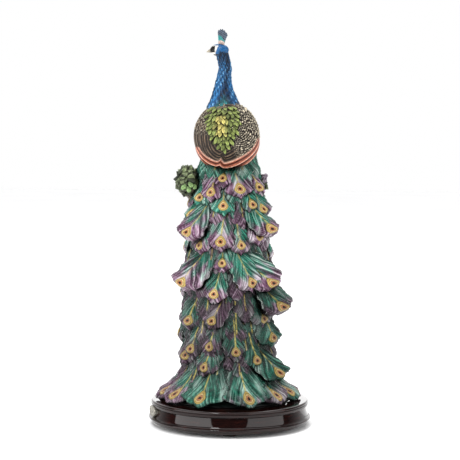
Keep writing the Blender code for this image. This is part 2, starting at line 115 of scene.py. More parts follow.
TIP_ROUNDING = 0.14
FACING = 0.45
FACING_FROM = 42
FACING_OVER = 15
FACING_TO = 90
CREST_OF_TIP = 0.8
TIP_CURL = 0.5
TUCK_UNDER = 1.5
CROWN = 0.14
LIP = 0.8
LIP_STEP = 0.5
JAG = 0.07
SWAY = 7.0
FOLD = 0.8
BARB_SLOPE = 2.1
BARB_STEP = 8.0
FINE_BARB_STEP = 3.3
SHAFT_HALF = 0.8
MAUVE_BLEND = 0.14

# Rings of a feather's rolled edge: how far in from the outline and down from the top, the lowest place, and
# how bright each ring is painted, darker under the edge as painted shade
EDGE_RINGS = ((0.02, 1.4), (0.08, 2.8), (0.34, 60.0))
EDGE_DEEPEST = -4.0
EDGE_SHADES = (1.0, 0.6, 0.25, 0.08)

# Side feathers: heights of their eyes, angle, lean, and length, width, stand-off and turn to mauve
SIDE_TIERS = (214, 166, 118, 70)
SIDE_STAGGER = 6
SIDE_ANGLE = 102
SIDE_LEAN = 8
SIDE_FEATHER = (58, 30, 10, 0.8)

# Skirt feathers on the base: angle, lean, width, reach, and where green turns mauve
SKIRT = (
    (-22, -2, 42, 14, NO_MAUVE),
    (17, 1, 44, 15, 0.92),
    (46, 6, 38, 11, 0.70),
    (70, 8, 34, 9, NO_MAUVE),
    (-50, -6, 38, 11, 0.62),
    (-74, -8, 34, 7, 0.40),
    (-98, -6, 28, 5, 0.60),
    (87, 6, 28, 9, 0.80),
)
SKIRT_EYE_HEIGHT = 11
SKIRT_LENGTH = 46
SKIRT_FLOOR = 0.5
EYE_RADIUS = 4.9
EYE_FULL_WIDTH = 27
NO_EYE = 9.0
BARB_SEED = 3.1

# How bright the paint is at each height, painted shade darker low on the train, and the plain feathers that
# fill the gaps between tiers, painted darker as shade in the gaps
LIGHT_HEIGHTS = (10, 30, 60, 104, 124, 230)
LIGHT_SHARES = (0.50, 0.38, 0.24, 0.34, 1.05, 1.0)
UNDER_TIERS = 10
UNDER_TOP = 247
UNDER_STEP = 25
UNDER_ANGLE = 26
UNDER_PAINTED_SHADE = 0.55
UNDER_LEAN = 0.12
UNDER_SIZE = (62, 25)
UNDER_GRID = (34, 18)
UNDER_MAUVES = (0.42, 0.66, 0.90, 0.55)

# Wings, in degrees on the body round from -Y: their front edge and how it bows forward on the flank,
# the spacing of arcs and feather steps, the copper band's middle, half width, inner edge and grooves,
# and the breast's scales
WING_FRONT = 108
WING_BOW = 8
WING_LOBES = 5
WING_RAISED = 1.6
ARC_STEP = 6.0
FEATHER_STEP = 12
COPPER_MIDDLE = 8
COPPER_HALF = 78
COPPER_INNER = 44
COPPER_RISE = 23
COPPER_GROOVE = 13
BREAST_ROWS = 8.5
BREAST_SCALES = 46

# Bird sizes, as in the solid
BODY_AT = (-5, 4, 287)
BODY_HALF = (33, 38, 34.5)
NECK_HEIGHTS = (308, 319, 327, 336, 344, 352, 361, 370, 378, 383)
NECK_X = (-7, -8.3, -8.0, -8.8, -8.8, -8.2, -6.8, -8.6, -10.4, -11.4)
NECK_Y = (4, 6, 8, 9, 9.5, 9, 7.5, 5.5, 3.5, 2.5)
NECK_HALF = (22, 18.4, 15.0, 11.6, 9.3, 7.8, 7.1, 7.1, 6.6, 4.0)
NECK_FLATTEN = 1.08
NECK_SCALES = 15
HEAD_AT = (-13.2, 3.4, 380.2)
HEAD_HALF = (10.4, 6.2, 6.6)
HEAD_TURN = 160
BEAK_LENGTH = 9
BEAK_RADIUS = 2.9
BEAK_IN = 4.0
BEAK_HOOK = 1.8
BIRD_EYE_AT = (4.4, 4.9, 0.9)
BIRD_EYE_RADIUS = 1.25
CREST_FOOT = (-11.8, 2.6, 383)
CREST_TALL = 22.1
CREST_HALF = (3.2, 5.8)
CREST_FLARE = 1.6
CREST_SLANT = 2.0
CREST_THICK = 3.4
CREST_LOBES = 5
CREST_SCALLOP = 1.2
CREST_DROOP = 4.0
CREST_SET_BACK = 2.0
STUMP = ((-22, 12, 200, 9), (-34, 10, 214, 8), (-41, 8, 224, 7.8), (-47, 6, 235, 12), (-47, 6, 243, 9.5))
KNOT = ((14, 14, 208, 9), (27, 11, 228, 7.5), (33, 9, 236, 6.8), (36, 8, 242, 4.2), (38.5, 8, 244.5, 2.2))
PERCH = ((-20, 24, 222, 10), (-4, 26, 226, 11), (14, 24, 224, 9))
LEG = ((0, 14, 264, 5.0), (1, 22, 248, 2.8), (1.5, 25, 236, 2.6))
TOES = ((0, 25, 238, 2.2), (0, 34, 237, 2.0), (0, 37.5, 230, 1.4))
LEG_OUT = 9
TOE_SPREAD = (-4.5, 0, 4.5)
LEAF_GRID = 7
LIMB_STEPS = 16
LIMB_CAP = 7
LIMB_ROUNDS = 6
LIMB_BLUNT = 0.8
GOLDEN_TURN = 2.39996
MOSS_AT = (-47, 6, 238)
MOSS_HALF = (10.8, 10.8, 14.0)
KNOT_MOSS_AT = (34, 9, 234)
KNOT_MOSS_HALF = (6.0, 6.0, 7.0)
PALE_MOSS_AT = (-45.5, -7.0, 232.5)
PALE_MOSS = ((0, 0), (3.4, 2.2), (1.0, 5.0), (-3.2, 1.5))
IVY_LEAVES = 70
IVY_LOW = 6
IVY_TALL = 228

# Saddle of scale feathers: heights above the body's middle, half width and middle at each, and spacing
SADDLE_AT = (29, 16, 4, -4, -10)
SADDLE_HALF = (10, 13.5, 10, 5.0, 1.0)
SADDLE_MIDDLE = (-3.5, -4.0, -4.0, -3.0, -2.5)
SADDLE_ROWS = 17
SADDLE_STEP = 3.5
SADDLE_LEAF = (7.6, 4.0)

# Base profile, as in the solid
BASE_RADIUS = 88.9
BASE_STEPS = 160
RIM_RADIUS = 86.3
RIM_HEIGHT = 6.2
RIM_ROUND = 2.0
RIM_GROOVE = 0.5
RIM_UNDER = 1.0
COVE_RADIUS = 83.2
COVE_FOOT_RADIUS = 86.5
COVE_FOOT = 6.3
COVE_SWELL = 0.3
COVE_STEPS = 14
BEAD = 2.4
FILLET = 1.0
TUCK_RADIUS = 86.6
FOOT_STEPS = 40
FOOT_EDGE = 0.4
SHARP_ANGLE = 32

# Badge, as in the solid
BADGE_WIDTH = 23
BADGE_TALL = 12
BADGE_BACK_RADIUS = 87.0
BADGE_THICK = 1.4
BADGE_AZIMUTH = -164

# Studio lights: name, place, aim, width, height and power
STUDIO_LIGHTS = (
    ("left_softbox", (-1.45, -0.95, 0.65), (0, 0, 0.15), 2.0, 1.1, 30),
    ("right_softbox", (1.45, -0.95, 0.65), (0, 0, 0.15), 2.0, 1.1, 20),
    ("high_key", (-0.6, -1.2, 1.7), (0, 0, 0.25), 0.35, 0.35, 16),
    ("back_top", (0.2, 1.5, 1.9), (0, 0, 0.2), 1.0, 1.0, 10),
    ("backdrop_glow", (0, 2.0, 0.42), (0, 0, 0.1), 3.0, 0.5, 4.0),
)
OVERHEAD_POWER = 2.3
OVERHEAD_SPREAD = 80


def srgb(text):
    """A linear colour from its usual hex form."""
    parts = [int(text[i : i + 2], 16) / 255 for i in (0, 2, 4)]
    return tuple(c / 12.92 if c <= 0.04045 else ((c + 0.055) / 1.055) ** 2.4 for c in parts)


PAINT_GLOSS = 0.22
GREEN = srgb("1a705c")
# the light and dark greens and mauves are lit and shaded copies of the paint, for painted highlight and
# painted shade
GREEN_LIGHT = srgb("45ad8f")
GREEN_DARK = srgb("0a221d")
MAUVE = srgb("643a58")
MAUVE_LIGHT = srgb("bb98b3")
MAUVE_DARK = srgb("24131f")
# near-black green, painted as shade in the gaps between feathers
SHADE_BLACK_GREEN = srgb("0b1613")
# pale dry-brush paint, also used for painted highlight on feather strokes and edges
DRY_BRUSH_AND_HIGHLIGHT = srgb("cfd3d0")
GOLD = srgb("b5a24c")
BARK = srgb("6b5a4c")
BARK_DARK = srgb("231b16")
MOSS = srgb("4b5b2c")
MOSS_LIGHT = srgb("8fa468")


def mix(a, b, share):
    """Mixes colours, in hex or as linear values, where share may be an array."""
    a, b = (np.asarray(srgb(colour) if isinstance(colour, str) else colour) for colour in (a, b))
    share = np.clip(np.asarray(share, float), 0, 1)[..., None]
    return a * (1 - share) + b * share


def smooth(low, high, value):
    """A soft step from 0 at low to 1 at high."""
    t = np.clip((value - low) / (high - low), 0, 1)
    return t * t * (3 - 2 * t)


def ripple(*waves):
    """A smooth uneven value near 0, made from a few waves."""
    return sum(np.sin(w + 1.7 * k) for k, w in enumerate(waves)) / len(waves)


def points_at(x, y, z):
    """Points from arrays of their coordinates."""
    return np.stack(np.broadcast_arrays(x, y, z), axis=-1)


def column(first, last, count):
    """Evenly spaced values down a grid's rows."""
    return np.linspace(first, last, count)[:, None]


def circle(count, first=0):
    """Angles all the way round, along a grid's columns."""
    return np.linspace(first, first + 2 * pi, count, endpoint=False)[None, :]


def unit(direction):
    return direction / np.linalg.norm(direction, axis=-1, keepdims=True)


def in_surface(direction, out):
    """The part of a direction that lies in the surface facing out."""
    return unit(direction - out * (direction @ out))


class Skin:
    """Collects grids of points, in mm, into one mesh with its colours and surface maps."""

    # the eye layer holds a feather eye's reach and the painted shade level of its height
    LAYERS = ("tint", "barb", "eye")

    def __init__(self):
        self.points = []
        self.faces = []
        self.layers = {name: [] for name in self.LAYERS}
        self.count = 0

    def add(self, points, tint, barb=None, eye=None, wrap=False):
        """Adds a grid of rows and columns; wrap joins each row's end to its start."""
        rows, columns = points.shape[:2]
        index = self.count + np.arange(rows * columns).reshape(rows, columns)
        if wrap:
            index = np.concatenate([index, index[:, :1]], axis=1)
        quads = np.stack([index[:-1, :-1], index[:-1, 1:], index[1:, 1:], index[1:, :-1]], axis=-1)
        self.faces.append(quads.reshape(-1, 4))
        self.points.append(points.reshape(-1, 3))
        flat = np.zeros((rows, columns, 3))
        far = np.full((rows, columns, 3), NO_EYE)
        for name, values, empty in (("tint", tint, flat), ("barb", barb, flat), ("eye", eye, far)):
            values = empty if values is None else np.broadcast_to(values, (rows, columns, 3))
            self.layers[name].append(np.array(values, float).reshape(-1, 3))
        self.count += rows * columns

    def build(self, name, material, node="peacock_figure"):
        lift = FIGURE_FLOOR if node == "peacock_figure" else 0
        points = (np.concatenate(self.points) + (0, 0, lift)) * MM
        faces = np.concatenate(self.faces)
        mesh = bpy.data.meshes.new(name)
        mesh.from_pydata(points.tolist(), [], faces.tolist())
        for layer, values in self.layers.items():
            made = mesh.attributes.new(layer, "FLOAT_VECTOR", "POINT")
            made.data.foreach_set("vector", np.concatenate(values).astype(np.float32).ravel())
        obj = placed(name, mesh)
        outward(obj)
        return dress(obj, material, node)


def placed(name, data):
    obj = bpy.data.objects.new(name, data)
    bpy.context.scene.collection.objects.link(obj)
    return obj


def outward(obj):
    form = bmesh.new()
    form.from_mesh(obj.data)
    bmesh.ops.remove_doubles(form, verts=form.verts, dist=0.01 * MM)
    bmesh.ops.recalc_face_normals(form, faces=form.faces)
    form.to_mesh(obj.data)
    form.free()
    obj.data.shade_smooth()


def dress(obj, material, node):
    obj.data.materials.clear()
    obj.data.materials.append(material)
    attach(obj, "root")
    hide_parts(node)
    return obj


class Nodes:
    """A short way to write a material's node tree."""

    def __init__(self, name):
        self.material = bpy.data.materials.new(name)
        self.material.use_nodes = True
        self.tree = self.material.node_tree
        self.shader = self.tree.nodes["Principled BSDF"]

    def plug(self, socket, value):
        if isinstance(value, bpy.types.NodeSocket):
            self.tree.links.new(value, socket)
        else:
            socket.default_value = value

    def node(self, kind, inputs=(), **settings):
        made = self.tree.nodes.new(kind)
        for key, value in settings.items():
            setattr(made, key, value)
        for key, value in dict(inputs).items():
            self.plug(made.inputs[key], value)
        return made

    def attribute(self, name):
        return self.node("ShaderNodeAttribute", attribute_name=name).outputs["Vector"]

    def math(self, operation, a, b=0.0, c=0.0, clamp=False):
        made = self.node("ShaderNodeMath", {0: a, 1: b, 2: c}, operation=operation, use_clamp=clamp)
        return made.outputs[0]

    def ramp(self, value, *stops):
        made = self.node("ShaderNodeValToRGB", {0: value})
        ramp = made.color_ramp
        while len(ramp.elements) > 1:
            ramp.elements.remove(ramp.elements[-1])
        for k, (place, colour) in enumerate(stops):
            element = ramp.elements[0] if k == 0 else ramp.elements.new(place)
            element.position = place
            if isinstance(colour, str):
                colour = srgb(colour)
            elif isinstance(colour, (int, float)):
                colour = (colour,) * 3
            element.color = (*colour, 1)
        return made.outputs["Color"]

    def blend(self, share, a, b, mode="MIX"):
        made = self.node("ShaderNodeMix", data_type="RGBA", blend_type=mode)
        for socket, value in zip((made.inputs[0], made.inputs[6], made.inputs[7]), (share, a, b)):
            if isinstance(value, tuple) and len(value) == 3:
                value = (*value, 1)
            self.plug(socket, value)
        return made.outputs[2]

    def noise(self, vector, scale, detail=3, roughness=0.55):
        inputs = {"Vector": vector, "Scale": scale, "Detail": detail, "Roughness": roughness}
        return self.node("ShaderNodeTexNoise", inputs).outputs["Fac"]

    def stretch(self, vector, scale):
        return self.node("ShaderNodeMapping", {"Vector": vector, "Scale": scale}).outputs[0]

    def position(self):
        return self.node("ShaderNodeTexCoord").outputs["Object"]

    def bump(self, height, distance, strength):
        inputs = {"Height": height, "Distance": distance, "Strength": strength}
        return self.node("ShaderNodeBump", inputs).outputs[0]

    def wash_and_painted_shade(self, colour, reach):
        """Darkens creases and undersides by their ambient occlusion: painted shade, partly standing for
        thinned dark paint in the creases of a painted casting.
        """
        hollow = self.node("ShaderNodeAmbientOcclusion", {"Distance": reach}, samples=6).outputs["AO"]
        shade = self.ramp(hollow, (0.32, 0.01), (0.62, 0.22), (0.93, 1.0))
        return self.blend(1.0, colour, shade, "MULTIPLY")

    def finish(self, **inputs):
        for key, value in inputs.items():
            name = key.replace("_", " ").title().replace("Ior", "IOR")
            if isinstance(value, tuple) and len(value) == 3:
                value = (*value, 1)
            self.plug(self.shader.inputs[name], value)
        return self.material


def feather_paint():
    """Painted resin: barbs in painted shade and painted highlight, partly dry-brush paint, creases darkened
    as painted shade and partly as thinned dark paint, gold shafts and ringed eyes.
    """
    n = Nodes("painted feathers")
    barb = n.attribute("barb")
    split = n.node("ShaderNodeSeparateXYZ", {0: barb})
    across, along, seed = split.outputs
    side = n.math("ABSOLUTE", across)
    run = n.math("MULTIPLY_ADD", side, -BARB_SLOPE, along)
    uneven = n.node("ShaderNodeCombineXYZ", {0: n.math("MULTIPLY", across, 0.2), 1: run, 2: seed})
    broad = n.noise(uneven.outputs[0], 0.30, detail=2)
    fine = n.noise(uneven.outputs[0], 0.95, detail=3)
    stroke = n.math("MULTIPLY_ADD", fine, 0.38, n.math("MULTIPLY", broad, 0.77))
    # painted shade in the barb valleys and painted highlight on their crests, partly dry-brush paint
    shade = n.ramp(stroke, (0.42, 0.10), (0.55, 0.70), (0.66, 1.20), (0.80, 2.4))
    colour = n.blend(1.0, n.attribute("tint"), shade, "MULTIPLY")
    # the eye layer's second value is the painted shade level of the feather's height
    split_eye = n.node("ShaderNodeSeparateXYZ", {0: n.attribute("eye")})
    eye_reach, level, _ = split_eye.outputs
    # lift: a whitish painted highlight on the stroke crests, partly dry-brush paint, dimmer where the
    # height's painted shade is deeper
    lift = n.math("MULTIPLY", n.ramp(stroke, (0.60, 0.0), (0.78, 0.55)), level, clamp=True)
    colour = n.blend(lift, colour, srgb("d3dcd4"))
    shaft = n.ramp(n.math("DIVIDE", side, 3.0), (0.14, 1.0), (0.30, 0.0))
    above_eye = n.ramp(n.math("MULTIPLY_ADD", along, 0.1, 0.5), (0.05, 1.0), (0.20, 0.0))
    gold = n.math("MULTIPLY", n.math("MULTIPLY", shaft, above_eye), n.ramp(broad, (0.35, 0.1), (0.6, 0.65)))
    colour = n.blend(gold, colour, GOLD)
    reach = n.math("ADD", eye_reach, n.math("MULTIPLY_ADD", fine, 0.18, -0.09))
    reach = n.math("MULTIPLY", reach, 0.8)
    rings = n.ramp(
        reach,
        (0.0, "0a0706"),
        (0.20, "120906"),
        (0.25, "a8683c"),
        (0.31, "b88258"),
        (0.37, "5a3418"),
        (0.43, "c8ae7c"),
        (0.54, "b29a5a"),
        (0.60, "5c4720"),
        (0.66, "bfa660"),
        (0.76, "95803f"),
        (0.84, "2c2612"),
    )
    in_eye = n.ramp(reach, (0.76, 1.0), (0.84, 0.0))
    rings = n.blend(1.0, rings, n.ramp(fine, (0.35, 0.65), (0.65, 1.2)), "MULTIPLY")
    # painted shade: eye rings darker low on the train
    rings = n.blend(1.0, rings, n.ramp(level, (0.20, 0.60), (0.90, 1.0)), "MULTIPLY")
    colour = n.blend(in_eye, colour, rings)
    grit = n.noise(n.position(), 900, detail=4)
    height = n.math("MULTIPLY_ADD", grit, 0.25, stroke)
    rough = n.ramp(grit, (0.3, 0.36), (0.7, 0.20))
    # painted shade: creases and undersides darkened by ambient occlusion, partly thinned dark paint
    colour = n.wash_and_painted_shade(colour, 0.012)
    return n.finish(
        base_color=colour,
        roughness=rough,
        specular_ior_level=PAINT_GLOSS,
        normal=n.bump(height, 0.0012, 0.7),
    )


def plain_paint(name, low=0.45, high=1.7, scale=420, roughness=(0.35, 0.55), bump=0.0006):
    """Painted resin that takes its colour from the mesh, with painted shade in its creases, partly thinned
    dark paint, and dry-brush highlights.
    """
    n = Nodes(name)
    place = n.position()
    blot = n.noise(place, scale, detail=5, roughness=0.65)
    shade = n.ramp(blot, (0.30, low), (0.50, 0.95), (0.70, high))
    colour = n.blend(1.0, n.attribute("tint"), shade, "MULTIPLY")
    rough = n.ramp(blot, (0.3, roughness[1]), (0.7, roughness[0]))
    # painted shade: creases and undersides darkened by ambient occlusion, partly thinned dark paint
    colour = n.wash_and_painted_shade(colour, 0.004)
    return n.finish(
        base_color=colour,
        roughness=rough,
        specular_ior_level=PAINT_GLOSS,
        normal=n.bump(blot, bump, 0.6),
    )


def lacquer():
    """Near-black mahogany under deep gloss lacquer, with a faint red grain."""
    n = Nodes("mahogany lacquer")
    place = n.stretch(n.position(), (60, 60, 900))
    height = n.node("ShaderNodeSeparateXYZ", {0: n.position()}).outputs["Z"]
    grain = n.noise(place, 1.0, detail=6, roughness=0.6)
    colour = n.ramp(grain, (0.35, "0c0606"), (0.60, "1c0b09"), (0.75, "3a1511"))
    return n.finish(
        base_color=colour,
        roughness=0.07,
        specular_ior_level=0.15,
        coat_weight=n.ramp(n.math("MULTIPLY", height, 1 / BASE_TOP), (0.985, 0.28), (0.995, 0.75)),
        coat_roughness=0.06,
        normal=n.bump(grain, 0.00003, 0.2),
    )


def pewter():
    n = Nodes("antiqued pewter")
    blot = n.noise(n.position(), 700, detail=5)
    colour = n.ramp(blot, (0.32, "2f2d29"), (0.50, "8f8c82"), (0.70, "c4c1b5"))
    rough = n.ramp(blot, (0.3, 0.55), (0.7, 0.30))
    return n.finish(base_color=colour, roughness=rough, metallic=0.85, normal=n.bump(blot, 0.0001, 0.5))


def stained_foot():
    n = Nodes("stained foot")
    grain = n.noise(n.stretch(n.position(), (300, 300, 60)), 1.0, detail=4)
    colour = n.ramp(grain, (0.35, "14100e"), (0.70, "2c221d"))
    return n.finish(base_color=colour, roughness=0.45, normal=n.bump(grain, 0.0002, 0.4))


def on_trunk(angle, height, stand_off):
    """Points off the train's or trunk's surface, in mm."""
    width = np.interp(height, HEIGHTS, HALF_WIDTH) + stand_off
    train = np.interp(height, HEIGHTS, TRAIN_DEPTH)
    trunk = np.interp(height, HEIGHTS, TRUNK_DEPTH)
    depth = np.where(np.cos(angle) > 0, train, trunk) + stand_off
    x = AXIS_X + width * np.sin(angle)
    y = AXIS_Y - depth * np.cos(angle)
    return points_at(x, y, height)


def feather(skin, seed, row, back=EYE_BACK, floor=FEATHER_FLOOR, eyed=True, grid=FEATHER_GRID):
    """One train feather: a barbed vane with a raised shaft and eye, rounded in at its lifted tip."""
    angle, height, lean, length, width, stand_off, mauve = row
    rows, columns = grid
    lean = radians(lean)
    facing = FACING * np.sign(angle) * min(max((abs(angle) - FACING_FROM) / FACING_OVER, 0), 1)
    facing = facing * (abs(angle) < FACING_TO)
    t0 = column(0, 1, rows)
    s0 = np.linspace(-1, 1, columns)[None, :]

    def place(s, t, deep=0.0):
        swell = ROOT_WIDTH + (1 - ROOT_WIDTH) * np.sin(pi / 2 * np.minimum(t / WIDEST_AT, 1))
        tip = np.maximum(t - TIP_START, 0) / (1 - TIP_START)
        outline = swell * np.sqrt(1 - TIP_NARROWING * tip**TIP_BLUNTNESS)
        jag = 1 + JAG * np.sin(t * length * 0.55 + seed) * s * s
        down = (t - 1) * length + back - TIP_ROUNDING * width * s * s * t**6
        down = down + 1.1 * np.sin(s * 7 + seed) * t**4
        aside = s * width / 2 * outline * jag + SWAY * sin(1.9 * seed) * np.sin(pi * t) * (1 - t)
        at = np.maximum(height - down * cos(lean) + aside * sin(lean), floor + LIP - LIP_STEP * deep)
        round_trunk = (np.interp(at, HEIGHTS, HALF_WIDTH) + np.interp(at, HEIGHTS, TRAIN_DEPTH)) / 2
        turn = radians(angle) + (down * sin(lean) + aside * cos(lean)) / round_trunk
        rise = np.minimum(t / CREST_OF_TIP, 1) ** 1.3
        curl = (np.maximum(t - CREST_OF_TIP, 0) / (1 - CREST_OF_TIP)) ** 2
        off = -TUCK_UNDER + (stand_off + TUCK_UNDER) * (rise - TIP_CURL * curl) - CROWN * width * s * s * t
        off = off + FOLD * np.cos(s * 5.5 + seed) * np.minimum(2 * t, 1)
        off = off + facing * s * width / 2 * rise
        return turn, at, off, down, aside

    turn, at, off, down, aside = place(s0, t0)
    run = down - BARB_SLOPE * np.abs(aside)
    bend = 1.4 * np.sin(aside * 0.6 + seed) + 1.1 * np.sin(down * 0.23 + 2 * seed)
    bend = bend + np.sin(run * 0.37 + 3 * seed)
    beat = np.sin(run * 2 * pi / BARB_STEP + seed + bend)
    fine_beat = np.sin(run * 2 * pi / FINE_BARB_STEP + bend)
    strokes = 0.5 * (beat + 0.5 * fine_beat) * smooth(0.6, 2.2, np.abs(aside))
    shaft = 0.7 * np.exp(-((aside / SHAFT_HALF) ** 2)) * smooth(1.0, -2.0, down)
    wave = 0.9 * ripple(down * 0.33 + seed, aside * 0.55 - seed * 2)
    eye_radius = EYE_RADIUS * sqrt(min(width / EYE_FULL_WIDTH, 1))
    eye_x = aside / eye_radius * (1 + 0.10 * np.maximum(-down, 0))
    eye_y = down / eye_radius * np.where(down < 0, 0.74, 0.92)
    reach = np.sqrt(eye_x**2 + eye_y**2) if eyed else np.full_like(aside, NO_EYE)
    disc = smooth(1.15, 0.85, reach)
    dish = 0.9 * disc - 0.5 * smooth(0.5, 0.2, reach) + 0.25 * np.cos(reach * 9) * disc
    top = on_trunk(turn, at, off + (strokes + shaft + wave) * (1 - disc) + dish)

    # painted shade: the paint darker low on the train, and darker again on the plain fillers in the gaps
    level = np.interp(height, LIGHT_HEIGHTS, LIGHT_SHARES) * (1 if eyed else UNDER_PAINTED_SHADE)
    tint = feather_tint(s0, t0, aside, down, beat, disc, seed, mauve, level)
    barb = points_at(aside, down, seed * BARB_SEED)
    skin.add(top, tint, barb, points_at(reach, level, 0.0))

    rim_s = np.concatenate([np.full(rows, -1.0), s0[0, 1:-1], np.full(rows, 1.0)])
    rim_t = np.concatenate([t0[:, 0], np.full(columns - 2, 1.0), t0[::-1, 0]])
    rings = [outline_of(top)]
    for inset, drop in EDGE_RINGS:
        turn, at, off, down, aside = place(rim_s * (1 - inset), rim_t * (1 - inset * 0.8), 1.0)
        rings.append(on_trunk(turn, at, np.maximum(off - drop, EDGE_DEEPEST)))
    # painted shade: the rolled edge darker towards its underside
    skin.add(np.stack(rings), np.stack([outline_of(tint) * shade for shade in EDGE_SHADES]))


def feather_tint(s, t, aside, down, beat, disc, seed, mauve, level):
    """Green running to mauve, with painted shade between barbs, at the root under the tier above and along
    the sides, painted highlight on barb crests and lobe edges, and pale strokes, partly dry-brush paint,
    partly painted highlight.
    """
    run = down - BARB_SLOPE * np.abs(aside)
    turning = t + 0.16 * ripple(aside * 0.8 + seed, down * 0.3) + 0.05 * beat
    share = smooth(mauve - MAUVE_BLEND, mauve + MAUVE_BLEND, turning)
    base = mix(GREEN, MAUVE, share)
    dark = mix(GREEN_DARK, MAUVE_DARK, share)
    # lit copy of the paint for painted highlight, dimmer low on the train
    light = mix(GREEN_LIGHT, MAUVE_LIGHT, share) * (0.25 + 0.75 * level)
    # painted shade by height, with a random variation
    shade = level * (1 + 0.40 * ripple(aside * 0.5 + seed, down * 0.21 + 2 * seed))
    # pale bands, partly dry-brush paint, partly painted highlight
    brushed_and_highlight = smooth(0.25, 0.8, ripple(aside * 0.45 + 2 * seed, run * 0.16 + seed, down * 0.12 - seed))
    pale = mix(light, DRY_BRUSH_AND_HIGHLIGHT, 0.5) * np.minimum(1.15 * shade + 0.15, 1)[..., None]
    edge = np.maximum(smooth(0.88, 1.0, np.abs(s)), smooth(0.93, 1.0, t))
    # painted shade by height, and painted shade in the barb valleys, partly thinned dark paint
    tint = mix(base * shade[..., None], dark, 0.55 * smooth(0.0, -0.9, beat) * (1 - disc))
    # painted shade at the root, under the tier above
    tint = mix(tint, dark, smooth(0.42, 0.05, t) * 0.8)
    # painted shade along the sides, where the feathers meet
    tint = mix(tint, dark, 0.85 * smooth(0.62, 0.98, np.abs(s)) * smooth(0.85, 0.6, t))
    # painted highlight on the barb crests
    tint = mix(tint, light, 0.5 * smooth(0.4, 1.0, beat) * smooth(0.2, 0.7, t))
    # pale bands: partly dry-brush paint, partly painted highlight
    tint = mix(tint, pale, 0.8 * brushed_and_highlight * smooth(0.3, 0.7, t))
    # pale painted highlight at the lobe edges, partly dry-brush paint
    return mix(tint, pale, 0.75 * edge * smooth(0.5, 0.8, t) * smooth(-0.6, 0.5, np.sin(down + seed)))


def outline_of(sheet):
    """The values of a grid down its first column, along its last row and back up its last column."""
    return np.concatenate([sheet[:, 0], sheet[-1, 1:-1], sheet[::-1, -1]])


def make_train():
    """The train: upper tiers, lower tiers, the sides with the skirt on the base, and fillers underneath."""
    paint = feather_paint()
    half = len(FEATHERS) // 2
    for name, rows in (("train_upper", FEATHERS[:half]), ("train_lower", FEATHERS[half:])):
        skin = Skin()
        for k, row in enumerate(rows):
            feather(skin, 1.3 * k + len(name), row)
        skin.build(name, paint)
    skin = Skin()
    for tier, height in enumerate(SIDE_TIERS):
        for side in (-1, 1):
            at = height - SIDE_STAGGER * (side > 0)
            feather(skin, tier * 2.2 + side, (side * SIDE_ANGLE, at, side * SIDE_LEAN, *SIDE_FEATHER))
    for k, (angle, lean, width, reach, mauve) in enumerate(SKIRT):
        row = (angle, SKIRT_EYE_HEIGHT, lean, SKIRT_LENGTH, width, reach, mauve)
        feather(skin, 0.9 * k, row, back=SKIRT_EYE_HEIGHT, floor=SKIRT_FLOOR)
    skin.build("train_skirt", paint)
    make_fillers(paint)


def make_fillers(paint):
    """Plain feathers in staggered rings, seen between the others, painted darker as shade in the gaps."""
    skin = Skin()
    for tier in range(UNDER_TIERS):
        height = UNDER_TOP - tier * UNDER_STEP
        for k in range(-4, 5):
            angle = (k + 0.5 * (tier % 2)) * UNDER_ANGLE + 3 * sin(5 * tier + k)
            mauve = UNDER_MAUVES[(3 * tier + k) % len(UNDER_MAUVES)] if tier > 1 else NO_MAUVE
            stand_off = 1.6 + 2.6 * ((k + tier) % 2)
            row = (angle, height, angle * UNDER_LEAN, *UNDER_SIZE, stand_off, mauve)
            feather(skin, 2.3 * tier + 1.1 * k, row, eyed=False, grid=UNDER_GRID)
    skin.build("train_under", paint)


def make_trunk():
    """The dark core behind the train, near-black green as painted shade in the gaps between feathers, and
    the bark and roots on the bird's side.
    """
    height = column(0, HEIGHTS[-1] + 8, 200)
    angle = circle(200, -pi)
    front = np.maximum(0, -np.cos(angle))
    ridge = np.cos(BARK_RIDGES * angle + height / 40)
    furrow = np.sin(angle * 31 + 2.2 * np.sin(height / 13) + height / 31)
    knots = ripple(height / 6 + 3 * angle, height / 9 - 5 * angle, angle * 11 + height / 17)
    relief = front * BARK_DEPTH * ridge + 0.9 * furrow * (0.35 + 0.65 * front) + 0.9 * knots
    tucked = (1 - smooth(0.0, 0.2, front)) * (2.5 + 3 * smooth(14, 2, height))
    points = on_trunk(angle, height, relief - 0.9 - tucked)
    wood = mix(BARK_DARK, BARK, 0.5 + 0.45 * furrow)
    damp = ripple(height / 14 + 2 * angle, height / 23 - 4 * angle) + 0.25 * smooth(60, 0, height)
    moss = smooth(0.15, 0.6, damp)
    wood = mix(wood, mix(MOSS, MOSS_LIGHT, 0.5 + 0.5 * knots), 0.85 * moss)
    # painted shade: the core behind the train near-black green, seen in the gaps between feathers
    tint = mix(SHADE_BLACK_GREEN, wood, smooth(0.05, 0.35, front))
    skin = Skin()
    skin.add(points, tint, wrap=True)
    skin.add(np.stack([points[0], points[0] * (0, 0, 1) + (AXIS_X, AXIS_Y, 0)]), SHADE_BLACK_GREEN, wrap=True)
    skin.build("trunk_bark", plain_paint("painted bark"))


def on_body(around, up, stand_off):
    """Points off the body, at radians round from -Y and above its middle, in mm."""
    hx, hy, hz = (half + stand_off for half in BODY_HALF)
    x = hx * np.cos(up) * np.sin(around)
    y = -hy * np.cos(up) * np.cos(around)
    z = hz * np.sin(up)
    return points_at(x, y, z) + BODY_AT


